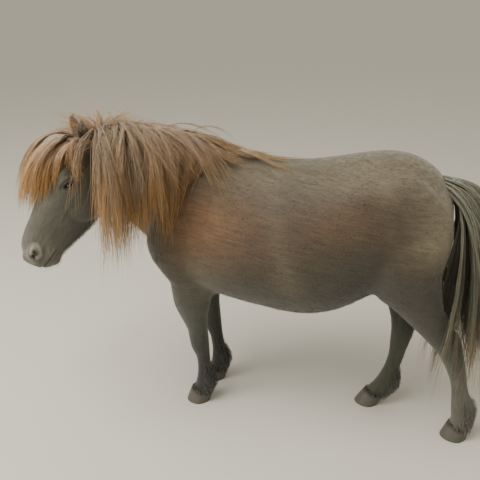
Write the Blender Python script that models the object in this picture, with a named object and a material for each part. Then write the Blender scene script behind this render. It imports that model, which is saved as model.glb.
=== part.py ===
"""A Shetland pony standing square-on in a field, life size, turned a little to its left.

It faces -X with its left side towards -Y, on a floor at Z = 0, in metres.
The flesh is modelled whole from lofts and parted with thin cuts; hair, eyes, ears and hooves are set on it.
"""

import math

import bmesh
import bpy
import numpy as np
from mathutils import Matrix, Vector
from mathutils.bvhtree import BVHTree

# Driving sizes, read from the animal as a pony of 0.99 m at the withers
WITHERS = 0.992
CROUP = 1.024
EYE_RADIUS = 0.0185
LID_LENGTH = 0.0165
LID_HEIGHT = 0.0105
LID_THICKNESS = 0.003
LID_RIM = 0.0018
LID_POINTS = 16
EAR_LENGTH = 0.1
EAR_WALL = 0.0042
MOUTH_GROOVE = 0.0026
MOUTH_STEPS = 10
GAP = 0.0003
HAIR_GAP = 0.0005
BODY_VOXEL = 0.0065
BODY_SOFTENING = 10
BODY_TRIANGLES = 4700
HEAD_VOXEL = 0.0036
HEAD_SOFTENING = 6
HEAD_TRIANGLES = 2450
SMOOTH_BELOW = math.radians(40)
MANE_SEED = 11
FORELOCK_SEED = 23
TAIL_SEED = 12

# The head turns to the left of the body and hangs steeply
HEAD_TURN = math.radians(41.5)
HEAD_DROP = math.radians(60.0)
POLL = Vector((-0.655, -0.165, 1.045))

LEFT, RIGHT = -1.0, 1.0
RIGHT_FORE_BACK = 0.024

# Each node's colour and roughness
LOOKS = {
    "coat": ((0.045, 0.032, 0.024), 0.75),
    "face": ((0.04, 0.036, 0.034), 0.75),
    "leg": ((0.028, 0.024, 0.022), 0.75),
    "mane": ((0.16, 0.085, 0.05), 0.7),
    "tail": ((0.06, 0.04, 0.03), 0.7),
    "horn": ((0.16, 0.145, 0.13), 0.55),
    "eye": ((0.012, 0.008, 0.006), 0.1),
}


def clear_scene():
    for thing in list(bpy.data.objects):
        bpy.data.objects.remove(thing)


def material(name, colour, roughness):
    made = bpy.data.materials.new(name)
    made.use_nodes = True
    shader = made.node_tree.nodes["Principled BSDF"]
    shader.inputs["Base Color"].default_value = (*colour, 1.0)
    shader.inputs["Roughness"].default_value = roughness
    shader.inputs["Metallic"].default_value = 0.0
    return made


def spline(rows, count):
    """Rows of numbers read at evenly spaced places along a smooth curve through them."""
    rows = np.array(rows, float)
    last = len(rows) - 1
    place = np.linspace(0, last, count)
    step = np.clip(place.astype(int), 0, last - 1)
    share = (place - step)[:, None]
    before, here = rows[np.maximum(step - 1, 0)], rows[step]
    there, after = rows[step + 1], rows[np.minimum(step + 2, last)]
    return 0.5 * (
        2 * here
        + (there - before) * share
        + (2 * before - 5 * here + 4 * there - after) * share**2
        + (3 * here - before - 3 * there + after) * share**3
    )


def unit(rows):
    rows = np.asarray(rows, float)
    return rows / np.linalg.norm(rows, axis=-1, keepdims=True)


def object_from(name, points, faces):
    mesh = bpy.data.meshes.new(name)
    mesh.from_pydata([tuple(p) for p in points], [], faces)
    made = bpy.data.objects.new(name, mesh)
    bpy.context.scene.collection.objects.link(made)
    return made


def ring_body(name, centre, side, front, sizes, sides=28, cap=0.55):
    """A closed body from rings: each has a centre, a side and a front direction, and sizes
    (half width, reach to the front, reach to the back, power of the outline, how much wider the front is).
    Each end closes in a dome whose height is cap times the end ring's smaller reach."""
    dome = np.radians([75, 50, 25])

    def grown(values, first, last):
        return np.concatenate([first, values, last])

    along = unit(np.gradient(centre, axis=0))
    reach = np.minimum(sizes[:, 0], sizes[:, 1:3].mean(axis=1))
    start = centre[0] - np.outer(np.sin(dome), along[0]) * reach[0] * cap
    end = centre[-1] + np.outer(np.sin(dome[::-1]), along[-1]) * reach[-1] * cap
    start_sizes = np.repeat(sizes[:1], 3, axis=0)
    start_sizes[:, :3] *= np.cos(dome)[:, None]
    end_sizes = np.repeat(sizes[-1:], 3, axis=0)
    end_sizes[:, :3] *= np.cos(dome[::-1])[:, None]
    tips = (centre[0] - along[0] * reach[0] * cap, centre[-1] + along[-1] * reach[-1] * cap)
    centre = grown(centre, start, end)
    side = grown(side, np.repeat(side[:1], 3, axis=0), np.repeat(side[-1:], 3, axis=0))
    front = grown(front, np.repeat(front[:1], 3, axis=0), np.repeat(front[-1:], 3, axis=0))
    sizes = grown(sizes, start_sizes, end_sizes)

    turn = np.linspace(0, 2 * math.pi, sides, endpoint=False)
    across, forward = np.cos(turn), np.sin(turn)
    power = 2 / sizes[:, 3:4]
    wide = np.sign(across) * np.abs(across) ** power * sizes[:, 0:1]
    wide = wide * (1 + sizes[:, 4:5] * forward)
    deep = np.sign(forward) * np.abs(forward) ** power
    deep = deep * np.where(forward > 0, sizes[:, 1:2], sizes[:, 2:3])
    points = centre[:, None] + side[:, None] * wide[..., None] + front[:, None] * deep[..., None]
    rings = len(centre)
    points = np.concatenate([points.reshape(-1, 3), tips])
    faces = []
    for ring in range(rings - 1):
        for k in range(sides):
            a, b = ring * sides + k, ring * sides + (k + 1) % sides
            faces.append((a, b, b + sides, a + sides))
    first, last = rings * sides, rings * sides + 1
    for k in range(sides):
        faces.append((first, (k + 1) % sides, k))
        faces.append((last, (rings - 1) * sides + k, (rings - 1) * sides + (k + 1) % sides))
    made = object_from(name, points, faces)
    face_outwards(made.data)
    return made


def face_outwards(mesh):
    shape = bmesh.new()
    shape.from_mesh(mesh)
    bmesh.ops.recalc_face_normals(shape, faces=shape.faces)
    if shape.calc_volume(signed=True) < 0:
        bmesh.ops.reverse_faces(shape, faces=shape.faces)
    shape.to_mesh(mesh)
    shape.free()


def between_edges(name, rows, count, sides=28, cap=0.55):
    """A loft between two edge lines. A row is the front or top edge point, the back or bottom edge
    point, the half width, the share of the way up at which it is widest, the outline's power and skew."""
    rows = spline(rows, count)
    top, bottom = rows[:, 0:3], rows[:, 3:6]
    half, share = rows[:, 6:7], rows[:, 7:8]
    centre = bottom + (top - bottom) * share
    reach = np.linalg.norm(top - bottom, axis=1, keepdims=True)
    front = unit(top - bottom)
    side = unit(np.cross(front, unit(np.gradient(centre, axis=0))))
    sizes = np.hstack([half, reach * (1 - share), reach * share, rows[:, 8:10]])
    return ring_body(name, centre, side, front, sizes, sides, cap)


def along_bones(name, rows, count, ahead=(-1, 0, 0), sides=20, cap=0.4):
    """A loft along a limb. A row is the centre, the reach to the front and to the back, and the half width."""
    rows = spline(rows, count)
    centre = rows[:, 0:3]
    along = unit(np.gradient(centre, axis=0))
    side = unit(np.cross(along, np.array(ahead, float)))
    front = unit(np.cross(side, along))
    sizes = np.hstack([rows[:, 5:6], rows[:, 3:5], np.full((count, 1), 2.1), np.zeros((count, 1))])
    return ring_body(name, centre, side, front, sizes, sides, cap)


def object_of(name, shape):
    """An object from a bmesh, which is freed."""
    mesh = bpy.data.meshes.new(name)
    shape.to_mesh(mesh)
    shape.free()
    made = bpy.data.objects.new(name, mesh)
    bpy.context.scene.collection.objects.link(made)
    return made


def placed(name, shape, centre, sizes, turn=None):
    """An object from a bmesh of unit size; turn is a 3x3 matrix whose columns are its own axes."""
    made = object_of(name, shape)
    axes = Matrix.Identity(4) if turn is None else turn.to_4x4()
    made.data.transform(Matrix.Translation(centre) @ axes @ Matrix.Diagonal((*sizes, 1.0)))
    face_outwards(made.data)
    return made


def ball(name, centre, radii, turn=None, rings=12, sides=20):
    shape = bmesh.new()
    bmesh.ops.create_uvsphere(shape, u_segments=sides, v_segments=rings, radius=1.0)
    return placed(name, shape, centre, radii, turn)


def box(name, centre, half_sizes, turn=None):
    shape = bmesh.new()
    bmesh.ops.create_cube(shape, size=2.0)
    return placed(name, shape, centre, half_sizes, turn)


def hull(name, corners):
    """The smallest convex body round the corners."""
    shape = bmesh.new()
    for corner in corners:
        shape.verts.new(corner)
    found = bmesh.ops.convex_hull(shape, input=shape.verts)
    spare = {item for item in found["geom_interior"] if isinstance(item, bmesh.types.BMVert)}
    bmesh.ops.delete(shape, geom=list(spare), context="VERTS")
    made = object_of(name, shape)
    face_outwards(made.data)
    return made


def tube(name, points, radii, sides=8, ring=False):
    """A round tube through the points, closed into a ring or with a flat cap at each end."""
    points = np.array([tuple(point) for point in points])
    count = len(points)
    if ring:
        along = unit(np.roll(points, -1, axis=0) - np.roll(points, 1, axis=0))
        side = unit(points - points.mean(axis=0))
    else:
        along = unit(np.gradient(points, axis=0))
        aside = np.array([0.0, 0.0, 1.0]) if abs(along[:, 2]).mean() < 0.7 else np.array([0.0, 1.0, 0.0])
        side = unit(np.cross(along, aside))
    up = unit(np.cross(side, along))
    side = unit(np.cross(along, up))
    turn = np.linspace(0, 2 * math.pi, sides, endpoint=False)
    spread = np.array(radii)[:, None, None]
    rows = points[:, None] + spread * (
        side[:, None] * np.cos(turn)[:, None] + up[:, None] * np.sin(turn)[:, None]
    )
    faces = []
    for k in range(count if ring else count - 1):
        following = (k + 1) % count
        for j in range(sides):
            a, b = k * sides + j, k * sides + (j + 1) % sides
            c, d = following * sides + (j + 1) % sides, following * sides + j
            faces.append((a, b, c, d))
    if not ring:
        faces.append(tuple(range(sides)))
        faces.append(tuple(range((count - 1) * sides, count * sides)))
    made = object_from(name, rows.reshape(-1, 3), faces)
    face_outwards(made.data)
    return made


def evaluated(thing):
    """The thing's mesh with its modifiers applied, and the modifiers removed."""
    bpy.context.view_layer.update()
    graph = bpy.context.evaluated_depsgraph_get()
    mesh = bpy.data.meshes.new_from_object(thing.evaluated_get(graph), depsgraph=graph)
    thing.modifiers.clear()
    thing.data = mesh
    return thing


def remove(things):
    for thing in things:
        bpy.data.objects.remove(thing)


def copy_of(thing, name):
    copy = thing.copy()
    copy.data = thing.data.copy()
    copy.name = name
    bpy.context.scene.collection.objects.link(copy)
    return copy


def joined(name, things):
    """One object that holds the meshes of all the things, which are removed."""
    shape = bmesh.new()
    for thing in things:
        mesh = thing.data
        mesh.transform(thing.matrix_world)
        shape.from_mesh(mesh)
    remove(things)
    return object_of(name, shape)


def as_clay(thing, voxel, rounds, triangles):
    """Fuses overlapping shapes into one smooth surface and thins it to so many triangles."""
    fuse = thing.modifiers.new("fuse", "REMESH")
    fuse.mode = "VOXEL"
    fuse.voxel_size = voxel
    soften = thing.modifiers.new("soften", "SMOOTH")
    soften.factor = 0.5
    soften.iterations = rounds
    evaluated(thing)
    thing.data.calc_loop_triangles()
    thin = thing.modifiers.new("thin", "DECIMATE")
    thin.ratio = min(1.0, triangles / len(thing.data.loop_triangles))
    thin.use_collapse_triangulate = True
    return evaluated(thing)


def boolean(thing, others, operation, solver="EXACT"):
    """Joins the others to the thing, or cuts them from it, and removes them."""
    group = bpy.data.collections.new("tools")
    bpy.context.scene.collection.children.link(group)
    for other in others:
        for place in list(other.users_collection):
            place.objects.unlink(other)
        group.objects.link(other)
    tool = thing.modifiers.new("tool", "BOOLEAN")
    tool.operation = operation
    tool.operand_type = "COLLECTION"
    tool.collection = group
    tool.solver = solver
    evaluated(thing)
    remove(others)
    bpy.data.collections.remove(group)
    return thing


def islands(mesh):
    """The mesh's closed surfaces, largest first, each as a new bmesh."""
    shape = bmesh.new()
    shape.from_mesh(mesh)
    left = set(shape.verts)
    groups = []
    while left:
        seed = left.pop()
        group, edge_of_group = {seed}, [seed]
        while edge_of_group:
            vertex = edge_of_group.pop()
            for edge in vertex.link_edges:
                other = edge.other_vert(vertex)
                if other in left:
                    left.remove(other)
                    group.add(other)
                    edge_of_group.append(other)
        groups.append({v.index for v in group})
    shape.free()
    made = []
    for group in groups:
        part = bmesh.new()
        part.from_mesh(mesh)
        part.verts.ensure_lookup_table()
        bmesh.ops.delete(part, geom=[v for v in part.verts if v.index not in group], context="VERTS")
        made.append(part)
    made.sort(key=lambda part: -abs(part.calc_volume()))
    return made


def keep_largest(thing):
    parts = islands(thing.data)
    parts[0].to_mesh(thing.data)
    for part in parts:
        part.free()
    return thing


# The trunk: top and bottom lines of the body with its half width


def trunk():
    rows = [
        # top x y z, bottom x y z, half width, share, power, skew
        (-0.52, 0, 0.75, -0.52, 0, 0.64, 0.08, 0.5, 2.0, 0.0),
        (-0.475, 0, 0.83, -0.475, 0, 0.582, 0.13, 0.45, 2.0, 0.0),
        (-0.42, 0, 0.92, -0.42, 0, 0.535, 0.172, 0.4, 2.0, -0.1),
        (-0.33, 0, WITHERS, -0.33, 0, 0.498, 0.2, 0.38, 2.0, -0.22),
        (-0.21, 0, 0.984, -0.21, 0, 0.472, 0.225, 0.4, 2.1, -0.16),
        (-0.08, 0, 0.977, -0.08, 0, 0.45, 0.247, 0.43, 2.15, -0.08),
        (0.05, 0, 0.981, 0.05, 0, 0.437, 0.256, 0.45, 2.15, -0.05),
        (0.17, 0, 1.003, 0.17, 0, 0.465, 0.25, 0.44, 2.2, -0.04),
        (0.28, 0, CROUP, 0.28, 0, 0.53, 0.228, 0.45, 2.2, -0.02),
        (0.37, 0, 1.02, 0.37, 0, 0.59, 0.2, 0.48, 2.2, 0.0),
        (0.45, 0, 0.984, 0.45, 0, 0.63, 0.158, 0.48, 2.1, 0.0),
        (0.497, 0, 0.93, 0.497, 0, 0.66, 0.11, 0.5, 2.0, 0.0),
    ]
    return between_edges("trunk", rows, 40, 36, 0.3)


def neck():
    rows = [
        (-0.26, 0.0, 0.98, -0.42, 0.0, 0.56, 0.165, 0.42, 2.0, -0.2),
        (-0.37, -0.012, 1.008, -0.52, 0.0, 0.635, 0.14, 0.42, 2.0, -0.3),
        (-0.46, -0.045, 1.038, -0.578, -0.04, 0.7, 0.115, 0.45, 2.0, -0.35),
        (-0.54, -0.095, 1.058, -0.61, -0.088, 0.76, 0.096, 0.47, 2.0, -0.33),
        (-0.605, -0.135, 1.062, -0.628, -0.13, 0.82, 0.082, 0.5, 2.0, -0.25),
        (-0.65, -0.16, 1.052, -0.65, -0.16, 0.865, 0.07, 0.5, 2.0, -0.15),
    ]
    return between_edges("neck", rows, 26, 28, 0.5)


def shoulder(side):
    """The shoulder blade's muscle and the upper arm, from the withers to the elbow."""
    rows = [
        (-0.315, side * 0.075, 0.9, 0.06, 0.07, 0.045),
        (-0.37, side * 0.125, 0.8, 0.08, 0.09, 0.062),
        (-0.42, side * 0.148, 0.7, 0.08, 0.1, 0.064),
        (-0.4, side * 0.15, 0.63, 0.064, 0.105, 0.062),
        (-0.355, side * 0.14, 0.555, 0.05, 0.09, 0.058),
    ]
    return along_bones("shoulder", rows, 18)


def fore_leg(side, back_set):
    """The leg from the upper arm to the coronet. back_set is how far behind the other the foot stands."""

    def row(x, reach_y, z, front, back, half):
        slide = back_set * (1 - min(0.5, z) / 0.25)
        return (x + slide, side * reach_y, z, front, back, half)

    rows = [
        row(-0.365, 0.135, 0.58, 0.06, 0.1, 0.062),
        row(-0.353, 0.128, 0.51, 0.068, 0.09, 0.059),
        row(-0.347, 0.118, 0.45, 0.072, 0.075, 0.053),
        row(-0.344, 0.108, 0.395, 0.056, 0.057, 0.044),
        row(-0.337, 0.098, 0.335, 0.042, 0.044, 0.036),
        row(-0.333, 0.092, 0.29, 0.041, 0.041, 0.0385),
        row(-0.33, 0.088, 0.25, 0.038, 0.039, 0.036),
        row(-0.322, 0.084, 0.205, 0.03, 0.033, 0.026),
        row(-0.318, 0.082, 0.155, 0.03, 0.033, 0.0255),
        row(-0.315, 0.081, 0.108, 0.036, 0.047, 0.034),
        row(-0.325, 0.08, 0.073, 0.034, 0.045, 0.032),
        row(-0.331, 0.08, 0.038, 0.04, 0.042, 0.0365),
    ]
    return along_bones("fore_leg", rows, 44)


HIND_SIZES = [
    # reach to the front, to the back, half width
    (0.12, 0.11, 0.085),
    (0.145, 0.125, 0.098),
    (0.13, 0.105, 0.088),
    (0.082, 0.082, 0.066),
    (0.055, 0.058, 0.047),
    (0.045, 0.054, 0.04),
    (0.042, 0.052, 0.0415),
    (0.038, 0.042, 0.035),
    (0.032, 0.036, 0.027),
    (0.031, 0.036, 0.0265),
    (0.036, 0.053, 0.034),
    (0.035, 0.048, 0.032),
    (0.04, 0.043, 0.0365),
]
LEFT_HIND = [
    # centres from the hip to the coronet of the leg that stands back
    (0.375, -0.1, 0.87),
    (0.39, -0.122, 0.74),
    (0.405, -0.126, 0.64),
    (0.445, -0.116, 0.545),
    (0.49, -0.1, 0.465),
    (0.528, -0.088, 0.41),
    (0.558, -0.08, 0.37),
    (0.585, -0.076, 0.315),
    (0.607, -0.072, 0.25),
    (0.619, -0.07, 0.195),
    (0.63, -0.069, 0.138),
    (0.636, -0.068, 0.085),
    (0.637, -0.067, 0.04),
]
RIGHT_HIND = [
    # the same places on the leg that steps forward under the belly
    (0.37, 0.1, 0.87),
    (0.36, 0.122, 0.74),
    (0.358, 0.126, 0.64),
    (0.364, 0.116, 0.54),
    (0.388, 0.098, 0.455),
    (0.403, 0.086, 0.39),
    (0.408, 0.078, 0.34),
    (0.404, 0.073, 0.285),
    (0.397, 0.07, 0.225),
    (0.386, 0.067, 0.17),
    (0.373, 0.065, 0.118),
    (0.352, 0.064, 0.08),
    (0.332, 0.063, 0.046),
]


def hind_leg(centres):
    rows = [(*centre, *sizes) for centre, sizes in zip(centres, HIND_SIZES)]
    return along_bones("hind_leg", rows, 48)


def hock_point(centres):
    """The heel bone behind the hock, with the tendon that runs up from it."""
    above, hock, below = (Vector(centres[k]) for k in (4, 5, 7))
    back = Vector((1.0, 0.0, 0.35)).normalized()
    tip = hock + back * 0.05 + Vector((0, 0, 0.008))
    rows = [
        (*(above + back * 0.05 + Vector((0, 0, 0.03))), 0.014, 0.012, 0.014),
        (*(above.lerp(tip, 0.55) + back * 0.012), 0.015, 0.012, 0.015),
        (*tip, 0.024, 0.016, 0.018),
        (*(tip.lerp(below + back * 0.03, 0.5)), 0.024, 0.016, 0.018),
        (*(below + back * 0.026), 0.02, 0.014, 0.016),
    ]
    return along_bones("hock_point", rows, 14, sides=14)


def body_muscles():
    """Swellings that a smooth loft leaves out: breast, stifle, haunch, point of the hip and buttock."""
    made = []
    for side in (LEFT, RIGHT):
        made.append(ball("breast", (-0.45, side * 0.07, 0.675), (0.07, 0.08, 0.085)))
        made.append(ball("haunch", (0.34, side * 0.115, 0.8), (0.16, 0.1, 0.19)))
        made.append(ball("hip", (0.24, side * 0.12, 0.85), (0.15, 0.09, 0.12)))
        made.append(ball("buttock", (0.446, side * 0.08, 0.77), (0.085, 0.08, 0.17)))
        made.append(ball("elbow", (-0.285, side * 0.135, 0.53), (0.04, 0.04, 0.05)))
    made.append(ball("left stifle", (0.345, -0.135, 0.625), (0.06, 0.055, 0.085)))
    made.append(ball("right stifle", (0.3, 0.135, 0.605), (0.06, 0.055, 0.085)))
    return made


# The head in its own measures: out to its left, to the front of its axis, along from the poll to the muzzle

UP = Vector((0, 0, 1))
HEAD_FACING = Vector((-math.cos(HEAD_TURN), -math.sin(HEAD_TURN), 0.0))
HEAD_LEFT = Vector((math.sin(HEAD_TURN), -math.cos(HEAD_TURN), 0.0))
HEAD_ALONG = HEAD_FACING * math.cos(HEAD_DROP) - UP * math.sin(HEAD_DROP)
HEAD_FRONT = HEAD_FACING * math.sin(HEAD_DROP) + UP * math.cos(HEAD_DROP)
HEAD_AXES = Matrix((HEAD_LEFT, HEAD_FRONT, HEAD_ALONG)).transposed()


def on_head(out, front, along):
    return POLL + HEAD_AXES @ Vector((out, front, along))


def head_way(out, front, along):
    return (HEAD_AXES @ Vector((out, front, along))).normalized()


def skull():
    lines = [
        # along, front edge, back edge, half width, share, power, skew
        (0.01, 0.012, -0.1, 0.058, 0.55, 2.0, -0.1),
        (0.05, 0.052, -0.11, 0.068, 0.58, 2.0, -0.05),
        (0.1, 0.086, -0.122, 0.079, 0.6, 2.1, 0.05),
        (0.15, 0.098, -0.13, 0.082, 0.62, 2.3, 0.16),
        (0.2, 0.097, -0.132, 0.075, 0.61, 2.3, 0.15),
        (0.25, 0.092, -0.124, 0.064, 0.6, 2.3, 0.11),
        (0.3, 0.09, -0.108, 0.053, 0.57, 2.2, 0.06),
        (0.35, 0.087, -0.085, 0.046, 0.54, 2.2, 0.0),
        (0.395, 0.083, -0.066, 0.045, 0.5, 2.2, -0.02),
        (0.43, 0.072, -0.056, 0.045, 0.46, 2.3, -0.04),
        (0.452, 0.052, -0.048, 0.039, 0.44, 2.3, -0.04),
    ]
    rows = [
        (*on_head(0, front, along), *on_head(0, back, along), half, share, power, skew)
        for along, front, back, half, share, power, skew in lines
    ]
    return between_edges("skull", rows, 34, 32, 0.42)


def head_forms(side):
    """Brow, cheek, facial crest, nostril and lip on one side of the head."""
    out = -side
    return [
        ball("brow", on_head(out * 0.06, 0.058, 0.138), (0.026, 0.022, 0.036), HEAD_AXES),
        ball("cheek", on_head(out * 0.044, -0.045, 0.185), (0.031, 0.074, 0.085), HEAD_AXES),
        ball("crest", on_head(out * 0.049, 0.012, 0.235), (0.014, 0.012, 0.06), HEAD_AXES),
        ball("nostril", on_head(out * 0.032, 0.032, 0.42), (0.022, 0.031, 0.033), HEAD_AXES),
        ball("lip", on_head(out * 0.02, 0.012, 0.448), (0.026, 0.032, 0.024), HEAD_AXES),
        ball("temple", on_head(out * 0.05, 0.03, 0.075), (0.03, 0.032, 0.045), HEAD_AXES),
    ]


def head_middle():
    return [
        ball("chin", on_head(0, -0.045, 0.43), (0.027, 0.024, 0.027), HEAD_AXES),
        ball("upper lip", on_head(0, 0.028, 0.452), (0.032, 0.033, 0.022), HEAD_AXES),
        ball("nose", on_head(0, 0.068, 0.34), (0.027, 0.021, 0.095), HEAD_AXES),
    ]


def eye_place(side):
    return on_head(-side * 0.062, 0.034, 0.158)


def eye_axes(side):
    """Along the slit of the lids towards the nose, across it, and straight out of the eye."""
    out = head_way(-side * 0.93, 0.33, 0.02)
    slit = head_way(0, 0.5, 0.87)
    slit = (slit - out * slit.dot(out)).normalized()
    return Matrix((slit, out.cross(slit), out)).transposed()


def almond(share):
    """The edge of the lids as points in the eye's own measures, grown to this share of the opening."""
    points = []
    for k in range(LID_POINTS):
        turn = 2 * math.pi * k / LID_POINTS
        across = math.cos(turn)
        lift = math.sin(turn) * (1 - 0.35 * across * across)
        points.append((LID_LENGTH * share * across, LID_HEIGHT * share * lift))
    return points


def lid_forms(side):
    """The lids rounded over the eye, with a raised rim round the slit."""
    centre, axes = eye_place(side), eye_axes(side)
    over = EYE_RADIUS + LID_THICKNESS
    rim = []
    for x, y in almond(1.12):
        rim.append(centre + axes @ Vector((x, y, math.sqrt(over**2 - x * x - y * y))))
    cover = ball("lids", centre, (over, over, over), axes, 10, 14)
    return [cover, tube("rim", rim, [LID_RIM] * len(rim), 5, True)]


def lid_cuts(side):
    """The slit between the lids and the room for the eye behind them."""
    centre, axes = eye_place(side), eye_axes(side)
    near = [centre + axes @ Vector((x, y, 0)) for x, y in almond(1.0)]
    far = [centre + axes @ Vector((x * 1.25, y * 1.5, 2 * EYE_RADIUS)) for x, y in almond(1.0)]
    room = EYE_RADIUS + GAP
    return [hull("slit", near + far), ball("socket", centre, (room, room, room), axes, 8, 14)]


def eye(side, name):
    return ball(name, eye_place(side), (EYE_RADIUS, EYE_RADIUS, EYE_RADIUS), eye_axes(side), 8, 14)


def nostril_cut(side):
    """The comma of the nostril, open to the side and a little forward."""
    out = -side
    deep = head_way(out * 0.8, 0.42, 0.45)
    long = head_way(out * -0.1, 0.75, -0.65)
    long = (long - deep * long.dot(deep)).normalized()
    axes = Matrix((deep, long, deep.cross(long))).transposed()
    return ball("nostril", on_head(out * 0.047, 0.037, 0.432), (0.02, 0.0135, 0.0068), axes, 8, 12)


def mouth_cut(skin):
    """A groove round the muzzle between the lips, deepest in front and fading at the corners."""
    points = []
    for k in range(-MOUTH_STEPS, MOUTH_STEPS + 1):
        share = k / MOUTH_STEPS
        away = abs(share)
        guess = on_head(0.085 * share, -0.008 - 0.02 * away, 0.5 - 0.105 * away**1.5)
        inside = on_head(0, -0.008 - 0.02 * away, 0.4 - 0.03 * away)
        found = skin.ray_cast(guess, (inside - guess).normalized())[0]
        if found is None:
            continue
        points.append(found + (inside - guess).normalized() * 0.001)
    radii = [MOUTH_GROOVE * (1 - 0.5 * abs(2 * k / (len(points) - 1) - 1) ** 3) for k in range(len(points))]
    return tube("mouth", points, radii, 6)


def ear_frame(side):
    """Across the ear, out of its opening and up to its tip, with where it stands on the head."""
    out = -side
    up = head_way(out * 0.26, 0.72, -0.66)
    opening = head_way(out * 0.7, 0.72, 0.1)
    opening = (opening - up * opening.dot(up)).normalized()
    return on_head(out * 0.047, 0.014, 0.036), up, opening, up.cross(opening)


def ear(side, name):
    """A leaf-shaped shell, hollow towards its opening."""
    root, up, opening, across = ear_frame(side)
    lines = [
        # share of the length, half width, reach to the opening, reach to the back
        (0.0, 0.021, 0.016, 0.018),
        (0.15, 0.024, 0.02, 0.02),
        (0.35, 0.028, 0.021, 0.021),
        (0.55, 0.027, 0.016, 0.02),
        (0.75, 0.02, 0.01, 0.016),
        (0.9, 0.0115, 0.006, 0.01),
        (1.0, 0.0045, 0.003, 0.004),
    ]

    def shell(name, thinner, forward, low, high, count, sides):
        rows = spline(lines, count)
        rows = rows[(rows[:, 0] >= low) & (rows[:, 0] <= high)]
        lift = np.outer(rows[:, 0] * EAR_LENGTH, up)
        curl = np.outer((rows[:, 0] ** 2) * -0.012, opening)
        centre = np.array(root) + lift + curl + np.array(opening) * forward
        sizes = np.hstack([rows[:, 1:4] - thinner, np.full((len(rows), 1), 2.0), np.zeros((len(rows), 1))])
        sizes[:, :3] = np.maximum(sizes[:, :3], 0.0012)
        side_way = np.repeat([tuple(across)], len(rows), axis=0)
        front_way = np.repeat([tuple(opening)], len(rows), axis=0)
        return ring_body(name, centre, side_way, front_way, sizes, sides, 0.5)

    outer = shell(name, 0.0, 0.0, 0.0, 1.0, 7, 10)
    hollow = shell("hollow", EAR_WALL, 0.0105, 0.28, 0.92, 9, 8)
    return boolean(outer, [hollow], "DIFFERENCE")


# Hooves: each is given by the middle of its coronet, the way it points, its lean and its sizes

HOOVES = {
    "left_fore": ((-0.33, -0.08), -0.01, 0.048, 0.037, 0.043),
    "right_fore": ((-0.311, 0.08), -0.01, 0.048, 0.037, 0.043),
    "left_hind": ((0.638, -0.067), -0.01, 0.048, 0.0365, 0.043),
    "right_hind": ((0.334, 0.063), -0.024, 0.05, 0.0365, 0.043),
}
HOOF_SIDES = 18
CORONET_LEAN = math.radians(16)


def coronet_plane(name):
    (x, y), _, height, _, _ = HOOVES[name]
    return Vector((x, y, height)), Vector((math.sin(CORONET_LEAN), 0, math.cos(CORONET_LEAN)))


def hoof(name):
    """A horn box: the wall slopes forward from the coronet to a flat sole."""
    (x, y), toe_step, height, half, reach = HOOVES[name]
    normal = coronet_plane(name)[1]
    turn = np.linspace(0, 2 * math.pi, HOOF_SIDES, endpoint=False)
    heel = np.where(np.sin(turn) < 0, 1 - 0.25 * np.sin(turn) ** 2, 1.0)
    rings = []
    for share in (0.0, 0.12, 0.55, 1.0):
        wide = half * (0.97 + 0.2 * share)
        deep = reach * (0.94 + 0.12 * share)
        px = x + toe_step * share - np.sin(turn) * deep * np.where(np.sin(turn) > 0, 1 + 0.12 * share, 0.9)
        py = y + np.cos(turn) * wide * heel
        top = height - (px - x) * normal.x / normal.z - GAP
        rings.append(np.stack([px, py, top * (1 - share)], axis=1))
    points = np.concatenate(rings)
    faces = [tuple(range(HOOF_SIDES))]
    for ring in range(3):
        for k in range(HOOF_SIDES):
            a, b = ring * HOOF_SIDES + k, ring * HOOF_SIDES + (k + 1) % HOOF_SIDES
            faces.append((a, b, b + HOOF_SIDES, a + HOOF_SIDES))
    faces.append(tuple(range(3 * HOOF_SIDES, 4 * HOOF_SIDES)))
    made = object_from(name + "_hoof", points, faces)
    face_outwards(made.data)
    return made


# Parting the flesh


def part_off(body, name, rooms):
    """Takes what lies in the room as a new piece. rooms are the room and the same grown by the gap."""
    piece = copy_of(body, name)
    boolean(piece, [rooms[0]], "INTERSECT")
    boolean(body, [rooms[1]], "DIFFERENCE")
    return keep_largest(piece)


def slanted_rooms(middle, along, sizes):
    """Boxes on one side of a plane through the middle; along points into them."""
    side = Vector(sizes[1]).normalized()
    tall = along.cross(side)
    axes = Matrix((side, tall, along)).transposed()
    made = []
    for more in (0.0, GAP):
        half = (sizes[0][0] + more, sizes[0][1] + more, sizes[0][2])
        made.append(box("room", middle + along * (sizes[0][2] - more), half, axes))
    return made


def head_rooms():
    crest, throat = on_head(0, -0.02, -0.05), on_head(0, -0.15, 0.1)
    along = (crest - throat).cross(HEAD_LEFT).normalized()
    if along.dot(HEAD_ALONG) < 0:
        along = -along
    return slanted_rooms((crest + throat) / 2, along, ((0.4, 0.34, 0.4), HEAD_LEFT))


def neck_rooms():
    high, low = Vector((-0.4, 0, 1.0)), Vector((-0.575, 0, 0.62))
    side = Vector((0, 1, 0))
    along = side.cross(high - low).normalized()
    if along.x > 0:
        along = -along
    return slanted_rooms((high + low) / 2, along, ((0.5, 0.33, 0.4), side))


def leg_rooms(side, ahead, behind, low, back_rise, out_rise):
    """The room of a leg: its roof rises outwards and to the back by these slopes."""
    made = []
    for more in (0.0, GAP):
        corners = []
        for x in (ahead - more, behind + more):
            for y in (0.012 - more, 0.4):
                roof = low + back_rise * (x - ahead) + out_rise * y + more * 1.2
                corners += [(x, side * y, -0.1), (x, side * y, roof)]
        made.append(hull("room", corners))
    return made


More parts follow.
